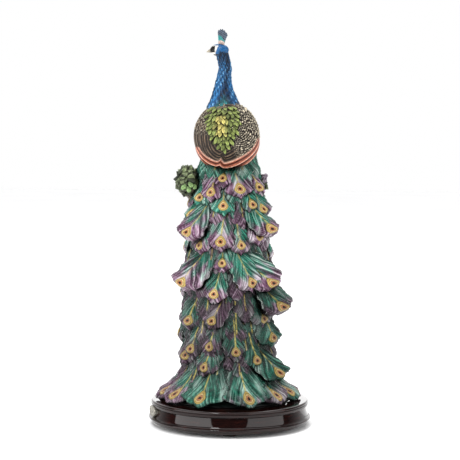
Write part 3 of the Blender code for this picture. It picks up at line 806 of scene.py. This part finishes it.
def make_body():
    """Breast and folded wings: fine arcs, mottled coverts, and copper primaries round the lower edge."""
    up = np.radians(column(-86, 80, 220))
    around = circle(300, -pi)
    direction = points_at(np.cos(up) * np.sin(around), -np.cos(up) * np.cos(around), np.sin(up))
    psi = np.degrees(np.arccos(np.clip(-direction[..., 1], -1, 1)))
    phi = np.degrees(np.arctan2(direction[..., 0], -direction[..., 2]))
    shoulder = WING_FRONT - WING_BOW * np.cos(np.radians(2 * phi))
    shoulder = shoulder - WING_LOBES * np.abs(np.sin(np.radians(5 * phi)))
    wing = smooth(shoulder + 3, shoulder - 3, psi)
    notch = np.exp(-(((phi + 12) / 5) ** 2))
    step_in = 4 * smooth(-14, -11, phi) * smooth(60, -11, phi)
    sweep = psi + 2.5 * np.sin(np.radians(3 * phi)) - step_in + 7 * notch
    arcs = np.sin(sweep * 2 * pi / ARC_STEP)
    away = np.abs(phi - COPPER_MIDDLE) / COPPER_HALF
    inner = COPPER_INNER + COPPER_RISE * away**2
    copper = smooth(-2, 2, sweep - inner) * smooth(1.04, 0.96, away)
    grooves = 0.5 + 0.5 * np.cos((sweep - inner) * 2 * pi / COPPER_GROOVE)
    right = smooth(20, 55, phi) * smooth(175, 150, phi)
    left_top = smooth(-85, -110, phi)
    wander = ripple(phi * 0.23 + psi * 0.11, psi * 0.31 - phi * 0.07, phi * 0.13)
    patches = np.sin(np.radians(phi) * 42 + 3.4 * wander)
    patches = patches * np.sin(psi * 2 * pi / 6.5 + 0.8 + 2.4 * wander)
    dots = smooth(0.20, 0.65, patches + 0.35 * ripple(phi * 0.53, psi * 0.71, phi * 0.39 - psi * 0.43))
    mottle = np.clip(right + 0.45 * left_top, 0, 1)
    drift = ripple(5 * around + 4 * up, 7 * up - 3 * around)
    tier = BREAST_ROWS * up + 0.25 * drift
    cell = ((around + 0.03 * drift) * BREAST_SCALES / (2 * pi) + 0.5 * (np.floor(tier) % 2)) % 1 - 0.5
    scales = np.clip(1 - (2 * cell) ** 2, 0, 1) * (1 - tier % 1) * smooth(0.0, 0.15, tier % 1)
    steps = 1.4 * ((sweep / FEATHER_STEP) % 1)
    band = (1.8 + 1.3 * grooves + 1.4 * smooth(60, 85, psi)) * (1 - 0.6 * np.minimum(away, 1) ** 2)
    rows_relief = steps + 0.45 * arcs + 0.8 * mottle * dots
    relief = wing * (WING_RAISED + (1 - copper) * rows_relief + copper * band)
    relief = relief + (1 - wing) * (0.9 * scales + 0.5 * drift)
    points = on_body(around, up, relief)

    worn = 0.55 + 0.45 * ripple(phi * 0.21, psi * 0.5 + phi * 0.1)
    coverts = mix("1a120e", "7a6550", smooth(0.1, 1.0, arcs) * worn)
    coverts = mix(coverts, "130e0b", 0.8 * right)
    coverts = mix(coverts, "ddd0b6", 0.95 * mottle * dots)
    copper_paint = mix("3c1712", "b5684e", grooves)
    # painted highlight: a pale line along the copper ridge tops
    copper_paint = mix(copper_paint, "ecc4ae", smooth(0.9, 1.0, grooves) * 0.8)
    wings = mix(coverts, copper_paint, copper)
    blue = mix("081c33", "2f7ab8", 0.15 + 1.1 * scales + 0.25 * drift)
    belly = mix("0e1312", "3c6650", 0.1 + 1.1 * scales)
    breast = mix(belly, blue, smooth(-0.7, 0.2, direction[..., 2] + 0.12 * drift))
    tint = mix(breast, wings, wing)
    skin = Skin()
    skin.add(points, tint, wrap=True)
    skin.build("body_wings", plain_paint("painted wings", 0.5, 1.6, 500))


def leaf(skin, root, down, out, length, width, tint, seed):
    """A small pointed scale feather: root point, direction down it, outward direction, sizes in mm. Painted
    shade at its root and under its edge, and a pale tip and edges, partly pale paint, partly painted
    highlight.
    """
    tint = np.asarray(tint)
    t = column(0, 1, LEAF_GRID)
    s = np.linspace(-1, 1, LEAF_GRID)[None, :]
    half = width / 2 * np.sin(pi * (0.16 + 0.80 * t)) ** 0.8
    lift = 1.5 * t + 0.5 * (1 - s * s) + 0.35 * np.exp(-((s / 0.2) ** 2)) * (1 - t)
    across = np.cross(down, out)
    points = root + down * length * t[..., None] + across * (s * half)[..., None]
    points = points + out * (lift + 0.15 * np.sin(9 * s + seed))[..., None]
    under = points - out * (1.6 + lift)[..., None]
    vein = np.exp(-((s / 0.25) ** 2)) * (1 - t)
    # pale tip and edges: partly pale paint, partly painted highlight
    pale = smooth(0.75, 1.0, np.maximum(t, np.abs(s) * smooth(0.3, 0.6, t)))
    # painted shade: darker at the root, where the leaf above covers it, lighter towards the tip
    colour = mix(tint * 0.45, tint * 1.5, 0.25 + 0.6 * t - 0.2 * np.cos(3 * s))
    colour = mix(colour, tint * 1.6 + 0.10, 0.6 * pale * (0.6 + 0.4 * sin(seed)))
    skin.add(points, mix(colour, tint * 0.5, 0.5 * vein))
    # painted shade: the wall under the leaf's edge
    skin.add(np.stack([outline_of(points), outline_of(under)]), tint * 0.3)


def make_saddle():
    """The yellow-green scale feathers between the wings, in a spade with its point down."""
    skin = Skin()
    drops = [-height for height in SADDLE_AT]
    length, width = SADDLE_LEAF
    for row in range(SADDLE_ROWS):
        rise = SADDLE_AT[0] + (SADDLE_AT[-1] - SADDLE_AT[0]) * row / (SADDLE_ROWS - 1)
        half = np.interp(-rise, drops, SADDLE_HALF)
        middle = np.interp(-rise, drops, SADDLE_MIDDLE)
        count = max(1, round(2 * half / SADDLE_STEP))
        for k in range(count + row % 2):
            seed = row * 3.7 + k * 5.1
            side = (k - (count + row % 2 - 1) / 2) / count * 2
            e = np.arcsin(min(0.96, rise / BODY_HALF[2]))
            a = np.arcsin(np.clip((middle + side * half) / (BODY_HALF[0] * cos(e)), -0.95, 0.95))
            out = np.array([cos(e) * sin(a), -cos(e) * cos(a), sin(e)])
            level = np.array([sin(e) * sin(a), -sin(e) * cos(a), -cos(e)])
            lean = np.array([cos(a), sin(a), 0.0]) * (side * 0.55 + 0.35 * sin(seed))
            heart = smooth(0.55, 0.15, abs(side + 0.10)) * smooth(12, 7, abs(rise - 13))
            tint = mix("788445", "bcae62", 0.85 * heart) * (1 + 0.40 * sin(seed))
            root = on_body(a, e, 2.6 + 0.8 * sin(2.3 * seed))
            leaf(skin, root, unit(level + lean), out, length + sin(1.3 * seed), width, tint, seed)
    skin.build("saddle_scales", plain_paint("painted scales", 0.5, 1.5, 700))


def make_neck():
    """The neck in small overlapping scales, azure over navy, the azure partly painted highlight, lighter on
    its ridges as painted light, with pale painted highlights, running to teal at its foot.
    """
    height = column(NECK_HEIGHTS[0], NECK_HEIGHTS[-1], 170)
    turn = circle(170)
    half = np.interp(height, NECK_HEIGHTS, NECK_HALF)
    sway = 0.5 * ripple(height / 5 + 2 * turn, height / 9 - 3 * turn)
    cell_up = height / 6.5 + 0.25 * np.sin(turn * 5) + 0.3 * sway
    shift = (np.floor(cell_up) % 2) * 0.5
    u = ((turn + 0.08 * sway) / (2 * pi) * NECK_SCALES + shift) % 1 - 0.5
    v = cell_up % 1
    scale = np.clip(1 - (2 * u) ** 2, 0, 1) * (1 - v) * smooth(0.0, 0.12, v)
    strand = np.sin(turn * 47 + height * 0.35 + 3 * sway)
    tuft = ripple(turn * 13 + height * 0.9, turn * 9 - height * 0.7, turn * 21 + height * 0.4)
    half = half + 0.35 * scale + 0.25 * strand + 0.6 * tuft + 0.35 * sway - 0.45
    x = np.interp(height, NECK_HEIGHTS, NECK_X) + half * np.cos(turn)
    y = np.interp(height, NECK_HEIGHTS, NECK_Y) + half * NECK_FLATTEN * np.sin(turn)
    points = points_at(x, y, height)
    # painted light: lighter on the raised scales, strands and tufts
    lit = 0.25 * scale + 0.38 + 0.2 * strand + 0.4 * tuft
    navy = mix("050b16", "12375c", lit)
    azure = mix("0d2f52", "3580bd", lit)
    # azure patches, partly the neck's own azure, partly painted highlight, brighter towards the front
    glow = ripple(turn * 3 + 2.4, height / 8, turn * 4 - height / 11) + 0.2 * np.cos(turn + 1.2)
    glow = smooth(-0.35, 0.5, glow)
    tint = mix(navy, azure, 0.9 * glow)
    # pale painted highlights on the tufts
    tint = mix(tint, "8fc3e0", 0.55 * smooth(0.45, 0.8, tuft) * glow)
    teal = mix("0c2f3a", "3f9a90", lit)
    foot = smooth(336, 320, height + 5 * ripple(turn * 9, turn * 4))
    foot = foot * smooth(0.1, 0.6, ripple(turn * 3, height / 7) + 0.5)
    tint = mix(tint, teal, foot * 0.6)
    tint = mix(tint, "2f4a1e", 0.7 * smooth(315, 310, height + 2 * strand))
    skin = Skin()
    skin.add(points, tint, wrap=True)
    top = points[-1].mean(axis=0)
    skin.add(np.stack([points[-1], np.broadcast_to(top, points[-1].shape)]), srgb("1d5a8c"), wrap=True)
    skin.build("neck", plain_paint("painted neck", 0.35, 2.1, 620, (0.22, 0.4)))


def along_head(forward, aside, up):
    """Steps in mm in the turned head's own directions: towards the beak, to its left and up."""
    turn = radians(HEAD_TURN)
    return points_at(forward * cos(turn) - aside * sin(turn), forward * sin(turn) + aside * cos(turn), up)


def make_head():
    """Head with a blue crown, bare white cheeks, a dark stripe through the eye, and a horn beak."""
    up = column(-pi / 2, pi / 2, 60)
    around = circle(80, -pi)
    f = np.cos(up) * np.cos(around)
    a = np.cos(up) * np.sin(around)
    u = np.sin(up)
    cheek = smooth(0.15, 0.5, f) * smooth(0.05, 0.3, np.abs(a))
    relief = 1 + 0.03 * cheek + 0.02 * np.sin(around * 20) * np.sin(up * 24)
    long, wide, tall = HEAD_HALF
    blue = mix("0b2440", "2a6ca6", 0.5 + 0.5 * np.sin(around * 24) * np.sin(up * 30))
    face = smooth(0.10, 0.18, f + 0.25 * u) * smooth(0.80, 0.72, np.abs(u + 0.06))
    stripe = smooth(0.56, 0.46, np.abs(u - 0.10)) * smooth(0.24, 0.34, f)
    # painted shade: a dark band under the chin
    chin_shade = smooth(0.12, 0.06, np.abs(u + 0.80)) * smooth(-0.1, 0.1, f)
    tint = mix(mix(blue, "d9d5cc", face), srgb("08080a"), stripe)
    skin = Skin()
    points = HEAD_AT + along_head(f * long * relief, a * wide * relief, u * tall * relief)
    skin.add(points, mix(tint, "12141c", chin_shade), wrap=True)
    skin.build("head", plain_paint("painted head", 0.8, 1.15, 900, (0.2, 0.35), 0.0002))
    make_beak()
    make_eyes()


def make_beak():
    t = column(0, 1, 14)
    turn = circle(20)
    radius = BEAK_RADIUS * (1 - t) ** 0.75 + 0.25 * (1 - t**6)
    radius = radius * (1 - 0.14 * np.exp(-((np.sin(turn) / 0.2) ** 2)))
    forward = HEAD_HALF[0] - BEAK_IN + t * BEAK_LENGTH
    up = radius * np.sin(turn) - 0.2 - BEAK_HOOK * t**2
    points = HEAD_AT + along_head(forward, radius * np.cos(turn), up)
    skin = Skin()
    skin.add(points, mix("5d574c", "a89f8c", t), wrap=True)
    skin.build("beak", plain_paint("painted beak", 0.75, 1.2, 900, (0.25, 0.4), 0.0001))


def make_eyes():
    skin = Skin()
    up = column(-pi / 2, pi / 2, 14)
    turn = circle(20)
    ball = points_at(np.cos(up) * np.cos(turn), np.cos(up) * np.sin(turn), np.sin(up))
    forward, aside, rise = BIRD_EYE_AT
    for side in (-1, 1):
        centre = HEAD_AT + along_head(forward, side * aside, rise)
        skin.add(centre + BIRD_EYE_RADIUS * ball, srgb("070504"), wrap=True)
    skin.build("head_eyes", plain_paint("painted eye", 0.9, 1.1, 900, (0.05, 0.08), 0.00005))


def make_crest():
    """The fan on the head: pale stems, a teal band and dark scalloped tips."""
    t = column(0, 1, 46)
    s = np.linspace(-1, 1, 60)[None, :]
    half = CREST_HALF[0] + (CREST_HALF[1] - CREST_HALF[0]) * t**CREST_FLARE
    lobe = np.abs(np.cos(CREST_LOBES * pi / 2 * (s + 1)))
    rib = np.abs(np.sin(CREST_LOBES * pi * (s + 1)))
    fine_rib = np.abs(np.sin(CREST_LOBES * 2 * pi * (s + 1)))
    rise = (CREST_TALL + CREST_SLANT * (s - 1)) * t - CREST_DROOP * s * s * t - CREST_SCALLOP * lobe * t**3
    relief = 0.35 * rib * (0.3 + 0.7 * t) + 0.12 * np.sin(rise * 3.2 + 2 * s)
    pinch = np.sqrt(np.clip(1 - s**8, 0, 1)) * np.sqrt(np.clip(1 - t**14, 0, 1))
    thick = (CREST_THICK * (0.35 + 0.25 * t) - 0.4 + relief) * pinch
    stems = mix("8f6f68", "d9c2b6", rib)
    band = mix("125058", "3f9c98", fine_rib)
    tips = mix("161c28", "5d6a7b", 0.5 + 0.5 * np.sin(rise * 3 + 9 * s))
    dark_from = t + 0.06 * lobe - 0.14 * s
    tint = mix(mix(stems, band, smooth(0.32, 0.42, t)), tips, smooth(0.58, 0.64, dark_from))
    skin = Skin()
    for side in (-1, 1):
        skin.add(CREST_FOOT + along_head(s * half - CREST_SET_BACK * t, side * thick, rise), tint)
    skin.build("crest_fan", plain_paint("painted crest", 0.7, 1.3, 900, (0.3, 0.5), 0.0002))


def limb(skin, points, rough, tint_low, tint_high, seed, columns=40):
    """A round limb through points (x, y, z, radius), with bark relief, closed at both ends."""
    points = np.array(points, float)
    t = np.linspace(0, len(points) - 1, LIMB_STEPS * (len(points) - 1) + 1)
    line = np.stack([np.interp(t, np.arange(len(points)), points[:, k]) for k in range(4)], axis=-1)
    for _ in range(LIMB_ROUNDS):
        line[1:-1] = (line[:-2] + 2 * line[1:-1] + line[2:]) / 4
    bend = np.linspace(0, pi / 2, LIMB_CAP)
    along = unit(np.gradient(line[:, :3], axis=0))
    head = line[-1] + np.append(along[-1] * line[-1, 3] * LIMB_BLUNT, 0) * np.sin(bend)[1:, None]
    head[:, 3] = line[-1, 3] * np.cos(bend)[1:]
    tail = line[0] - np.append(along[0] * line[0, 3] * LIMB_BLUNT, 0) * np.sin(bend)[::-1][:-1, None]
    tail[:, 3] = line[0, 3] * np.cos(bend)[::-1][:-1]
    line = np.concatenate([tail, line, head])
    along = unit(np.gradient(line[:, :3], axis=0))
    first = unit(np.cross(along, np.array([0.3, 1.0, 0.1])))[:, None]
    second = np.cross(along, first[:, 0])[:, None]
    turn = circle(columns)
    run = np.arange(len(line))[:, None]
    bark = ripple(turn * 7 + run / 5 + seed, turn * 4 - run / 3, turn * 11 + seed)
    radius = line[:, 3:4] * (1 + rough * bark)
    ring = (radius * np.cos(turn))[..., None] * first + (radius * np.sin(turn))[..., None] * second
    skin.add(line[:, None, :3] + ring, mix(tint_low, tint_high, 0.5 + 0.8 * bark), wrap=True)


def moss_cluster(skin, centre, radius, count, size, seed):
    """Small leaves set all over a knob, in a golden-angle spiral."""
    for k in range(count):
        height = 1 - 2 * (k + 0.5) / count
        turn = k * GOLDEN_TURN + seed
        ring = sqrt(1 - height * height)
        out = np.array([ring * cos(turn), ring * sin(turn), height])
        down = np.array([-height * cos(turn), -height * sin(turn), ring])
        down = unit(down * (-1 if k % 3 else 1) + 0.4 * np.array([-sin(turn), cos(turn), 0]))
        root = centre + out * radius * 0.92
        tint = mix("262d1d", "66714d", 0.5 + 0.5 * sin(k * 7.3 + seed))
        grown = size * (1 + 0.2 * sin(3.1 * k))
        leaf(skin, root, down, out, grown, grown * 0.85, tint, k)


def make_tree():
    """The mossy stump, the knot and perch at the trunk's top, and the bird's legs."""
    wood = Skin()
    limb(wood, STUMP, 0.10, srgb("2c241d"), srgb("7c7263"), 0.4)
    limb(wood, KNOT, 0.12, srgb("3a3038"), srgb("8d7f8c"), 1.9)
    limb(wood, PERCH, 0.10, BARK_DARK, BARK, 3.1)
    wood.build("tree_limbs", plain_paint("painted limbs", 0.4, 1.6, 380))
    moss = Skin()
    moss_cluster(moss, MOSS_AT, MOSS_HALF, 100, 9.8, 0.0)
    for k, (dx, dz) in enumerate(PALE_MOSS):
        out = unit(np.array([0.1 * dx, -1.0, 0.15]))
        down = in_surface(np.array([0.3 * dx, 0.0, -1.0]), out)
        leaf(moss, PALE_MOSS_AT + np.array([dx, 0, dz]), down, out, 7.0, 6.0, srgb("74905a"), k)
    moss_cluster(moss, KNOT_MOSS_AT, KNOT_MOSS_HALF, 14, 4.6, 2.0)
    moss.build("moss_leaves", plain_paint("painted moss", 0.45, 1.7, 600))
    legs = Skin()
    horn = (0.06, srgb("5c5346"), srgb("a89c84"))
    for side in (-1, 1):
        shift = BODY_AT[0] + side * LEG_OUT
        limb(legs, [(x * side + shift, y, z, r) for x, y, z, r in LEG], *horn, side, 20)
        for k, spread in enumerate(TOE_SPREAD):
            toe = [(shift + side + spread * i / 2, y, z, r) for i, (x, y, z, r) in enumerate(TOES)]
            limb(legs, toe, *horn, k, 16)
    legs.build("legs", plain_paint("painted legs", 0.6, 1.3, 800))


def make_ivy():
    """Leaves on the trunk's bark, on the side that the bird faces."""
    skin = Skin()
    for k in range(IVY_LEAVES):
        height = IVY_LOW + IVY_TALL * (k / IVY_LEAVES)
        angle = pi + 0.62 * sin(k * 2.1) + 0.28 * sin(k * 0.7)
        root = on_trunk(np.array(angle), np.array(height), 1.5)
        out = unit(np.array([sin(angle), -cos(angle), 0.25]))
        down = in_surface(np.array([cos(angle) * sin(k * 1.7), sin(angle) * sin(k * 1.7), -1.0]), out)
        size = 8.5 + 2.5 * sin(k * 3.3)
        tint = mix("31491f", "7f9a4e", 0.5 + 0.5 * sin(k * 5.7))
        leaf(skin, root, down, out, size, size * 0.75, tint, k)
    skin.build("trunk_ivy", plain_paint("painted ivy", 0.5, 1.5, 600))


def turned(name, profile, steps, material, node, centre=(0, 0)):
    """A profile of (radius, height) in mm, top to bottom, turned round Z; soft but for its sharp corners."""
    radius, height = np.array(profile).T[..., None]
    turn = circle(steps)
    skin = Skin()
    points = points_at(radius * np.cos(turn) + centre[0], radius * np.sin(turn) + centre[1], height)
    skin.add(points, (0, 0, 0), wrap=True)
    obj = skin.build(name, material, node)
    obj.data.set_sharp_from_angle(angle=radians(SHARP_ANGLE))


def arc(centre, radius, first, last, steps):
    """Points on an arc in a profile's plane, angles in degrees from its +X."""
    turns = [radians(first + (last - first) * k / steps) for k in range(steps + 1)]
    return [(centre[0] + radius * cos(a), centre[1] + radius * sin(a)) for a in turns]


def make_base():
    """The turned base: a grooved rim, a hollow moulding and a bead above its underside."""
    top = BASE_TOP / MM
    low = BASE_LOW / MM
    rim_mid = top - RIM_HEIGHT / 2
    rim_low = top - RIM_HEIGHT
    cove_foot = low + COVE_FOOT
    profile = [(0, top), (RIM_RADIUS - 3 * RIM_ROUND, top)]
    profile += arc((RIM_RADIUS - RIM_ROUND, top - RIM_ROUND), RIM_ROUND, 90, 0, 8)
    profile += [
        (RIM_RADIUS, rim_mid + RIM_GROOVE),
        (RIM_RADIUS - RIM_GROOVE, rim_mid),
        (RIM_RADIUS, rim_mid - RIM_GROOVE),
    ]
    profile += arc((RIM_RADIUS - RIM_UNDER, rim_low + RIM_UNDER), RIM_UNDER, 0, -90, 5)
    profile.append((COVE_RADIUS, rim_low - FILLET))
    for k in range(1, COVE_STEPS + 1):
        share = k / COVE_STEPS
        swell = (1 - COVE_SWELL) * share + COVE_SWELL * (1 - sqrt(1 - share * share))
        height = rim_low - FILLET + (cove_foot - rim_low + FILLET) * share
        profile.append((COVE_RADIUS + (COVE_FOOT_RADIUS - COVE_RADIUS) * swell, height))
    bead = cove_foot - FILLET - BEAD / 2
    profile += arc((BASE_RADIUS - BEAD / 2, bead), BEAD / 2, 90, -90, 8)
    profile += [
        (TUCK_RADIUS + 0.4, bead - BEAD / 2),
        (TUCK_RADIUS, low + FILLET),
        (TUCK_RADIUS - FILLET, low),
        (0, low),
    ]
    turned("base_turned", profile, BASE_STEPS, lacquer(), "base")


def make_feet():
    stain = stained_foot()
    for place in ("front", "right", "back", "left"):
        low, high = (np.array(corner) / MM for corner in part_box("foot_" + place))
        radius = (high[1] - low[1]) / 2
        top = high[2]
        profile = [(0, top), (radius - FOOT_EDGE, top), (radius, top - FOOT_EDGE)]
        profile += arc((radius - 1, 1), 1, 0, -90, 5) + [(0, 0)]
        centre = (low + high)[:2] / 2
        turned("foot_turned_" + place, profile, FOOT_STEPS, stain, "foot_" + place, centre)


def make_badge():
    """An oval plate bent to the base: a rolled rim, a ring of beads and a plain rosette."""
    low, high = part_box("badge")
    middle = (low[2] + high[2]) / 2 / MM
    r = column(0, 1, 26)
    turn = circle(96)
    rim = np.exp(-(((r - 0.93) / 0.055) ** 2))
    beads = np.exp(-(((r - 0.77) / 0.06) ** 2)) * (0.5 + 0.5 * np.cos(turn * 28))
    rosette = np.exp(-((r / 0.42) ** 4)) * (0.45 + 0.45 * np.cos(turn * 8) * smooth(0.05, 0.25, r))
    height = 0.25 + 0.75 * np.clip(rim + 0.55 * beads + 0.7 * rosette, 0, 1)
    height = np.where(r > 0.985, 0.0, height)
    across = r * np.cos(turn) * BADGE_WIDTH / 2 / BADGE_BACK_RADIUS + radians(BADGE_AZIMUTH)
    out = BADGE_BACK_RADIUS + height * BADGE_THICK
    face = points_at(out * np.cos(across), out * np.sin(across), middle + r * np.sin(turn) * BADGE_TALL / 2)
    back = face[-1] * (0.955, 0.955, 0.8) + (0, 0, 0.2 * middle)
    skin = Skin()
    skin.add(face, (0, 0, 0), wrap=True)
    skin.add(np.stack([face[-1], back]), (0, 0, 0), wrap=True)
    skin.build("badge_plate", pewter(), "badge")


def make_stage():
    """A pale seamless floor with soft studio light and two tall softboxes that show in the base's gloss."""
    n = Nodes("studio paper")
    blot = n.noise(n.position(), 3.0, detail=2)
    paper = n.finish(base_color=n.ramp(blot, (0.3, 0.96), (0.7, 0.99)), roughness=0.9)
    form = bmesh.new()
    bmesh.ops.create_grid(form, x_segments=4, y_segments=4, size=6)
    mesh = bpy.data.meshes.new("floor")
    form.to_mesh(mesh)
    form.free()
    floor = placed("floor", mesh)
    floor.data.materials.append(paper)
    make_studio_world()
    for name, place, aim, width, height, power in STUDIO_LIGHTS:
        light = bpy.data.lights.new(name, "AREA")
        light.shape = "RECTANGLE"
        light.size = width
        light.size_y = height
        light.energy = power
        lamp = placed(name, light)
        lamp.location = place
        lamp.rotation_euler = (Vector(aim) - Vector(place)).to_track_quat("-Z", "Y").to_euler()
    overhead = bpy.data.lights.new("overhead", "SUN")
    overhead.energy = OVERHEAD_POWER
    overhead.angle = radians(OVERHEAD_SPREAD)
    placed("overhead", overhead)
    bpy.context.scene.view_settings.view_transform = "Standard"


def make_studio_world():
    """White behind the object, as a lit backdrop is, and dim on the camera's side."""
    world = bpy.data.worlds.new("studio")
    world.use_nodes = True
    tree = world.node_tree
    direction = tree.nodes.new("ShaderNodeTexCoord")
    split = tree.nodes.new("ShaderNodeSeparateXYZ")
    ramp = tree.nodes.new("ShaderNodeValToRGB")
    tree.links.new(direction.outputs["Generated"], split.inputs[0])
    tree.links.new(split.outputs["Y"], ramp.inputs[0])
    tree.links.new(ramp.outputs["Color"], tree.nodes["Background"].inputs["Color"])
    ramp.color_ramp.elements[0].position = 0.10
    ramp.color_ramp.elements[0].color = (0.05, 0.05, 0.055, 1)
    ramp.color_ramp.elements[1].position = 0.75
    ramp.color_ramp.elements[1].color = (1, 1, 1, 1)
    bpy.context.scene.world = world


def make_camera():
    camera = placed("camera", bpy.data.cameras.new("camera"))
    camera.data.lens = CAMERA_LENS
    camera.data.sensor_width = 36
    camera.location = CAMERA_AT
    look = (Vector(CAMERA_AIM) - Vector(CAMERA_AT)).to_track_quat("-Z", "Y").to_matrix().to_4x4()
    roll = Matrix.Rotation(radians(CAMERA_ROLL), 4, "Z")
    camera.matrix_world = Matrix.Translation(CAMERA_AT) @ look @ roll
    bpy.context.scene.camera = camera


make_camera()
make_stage()
make_train()
make_trunk()
make_body()
make_saddle()
make_neck()
make_head()
make_crest()
make_tree()
make_ivy()
make_base()
make_feet()
make_badge()
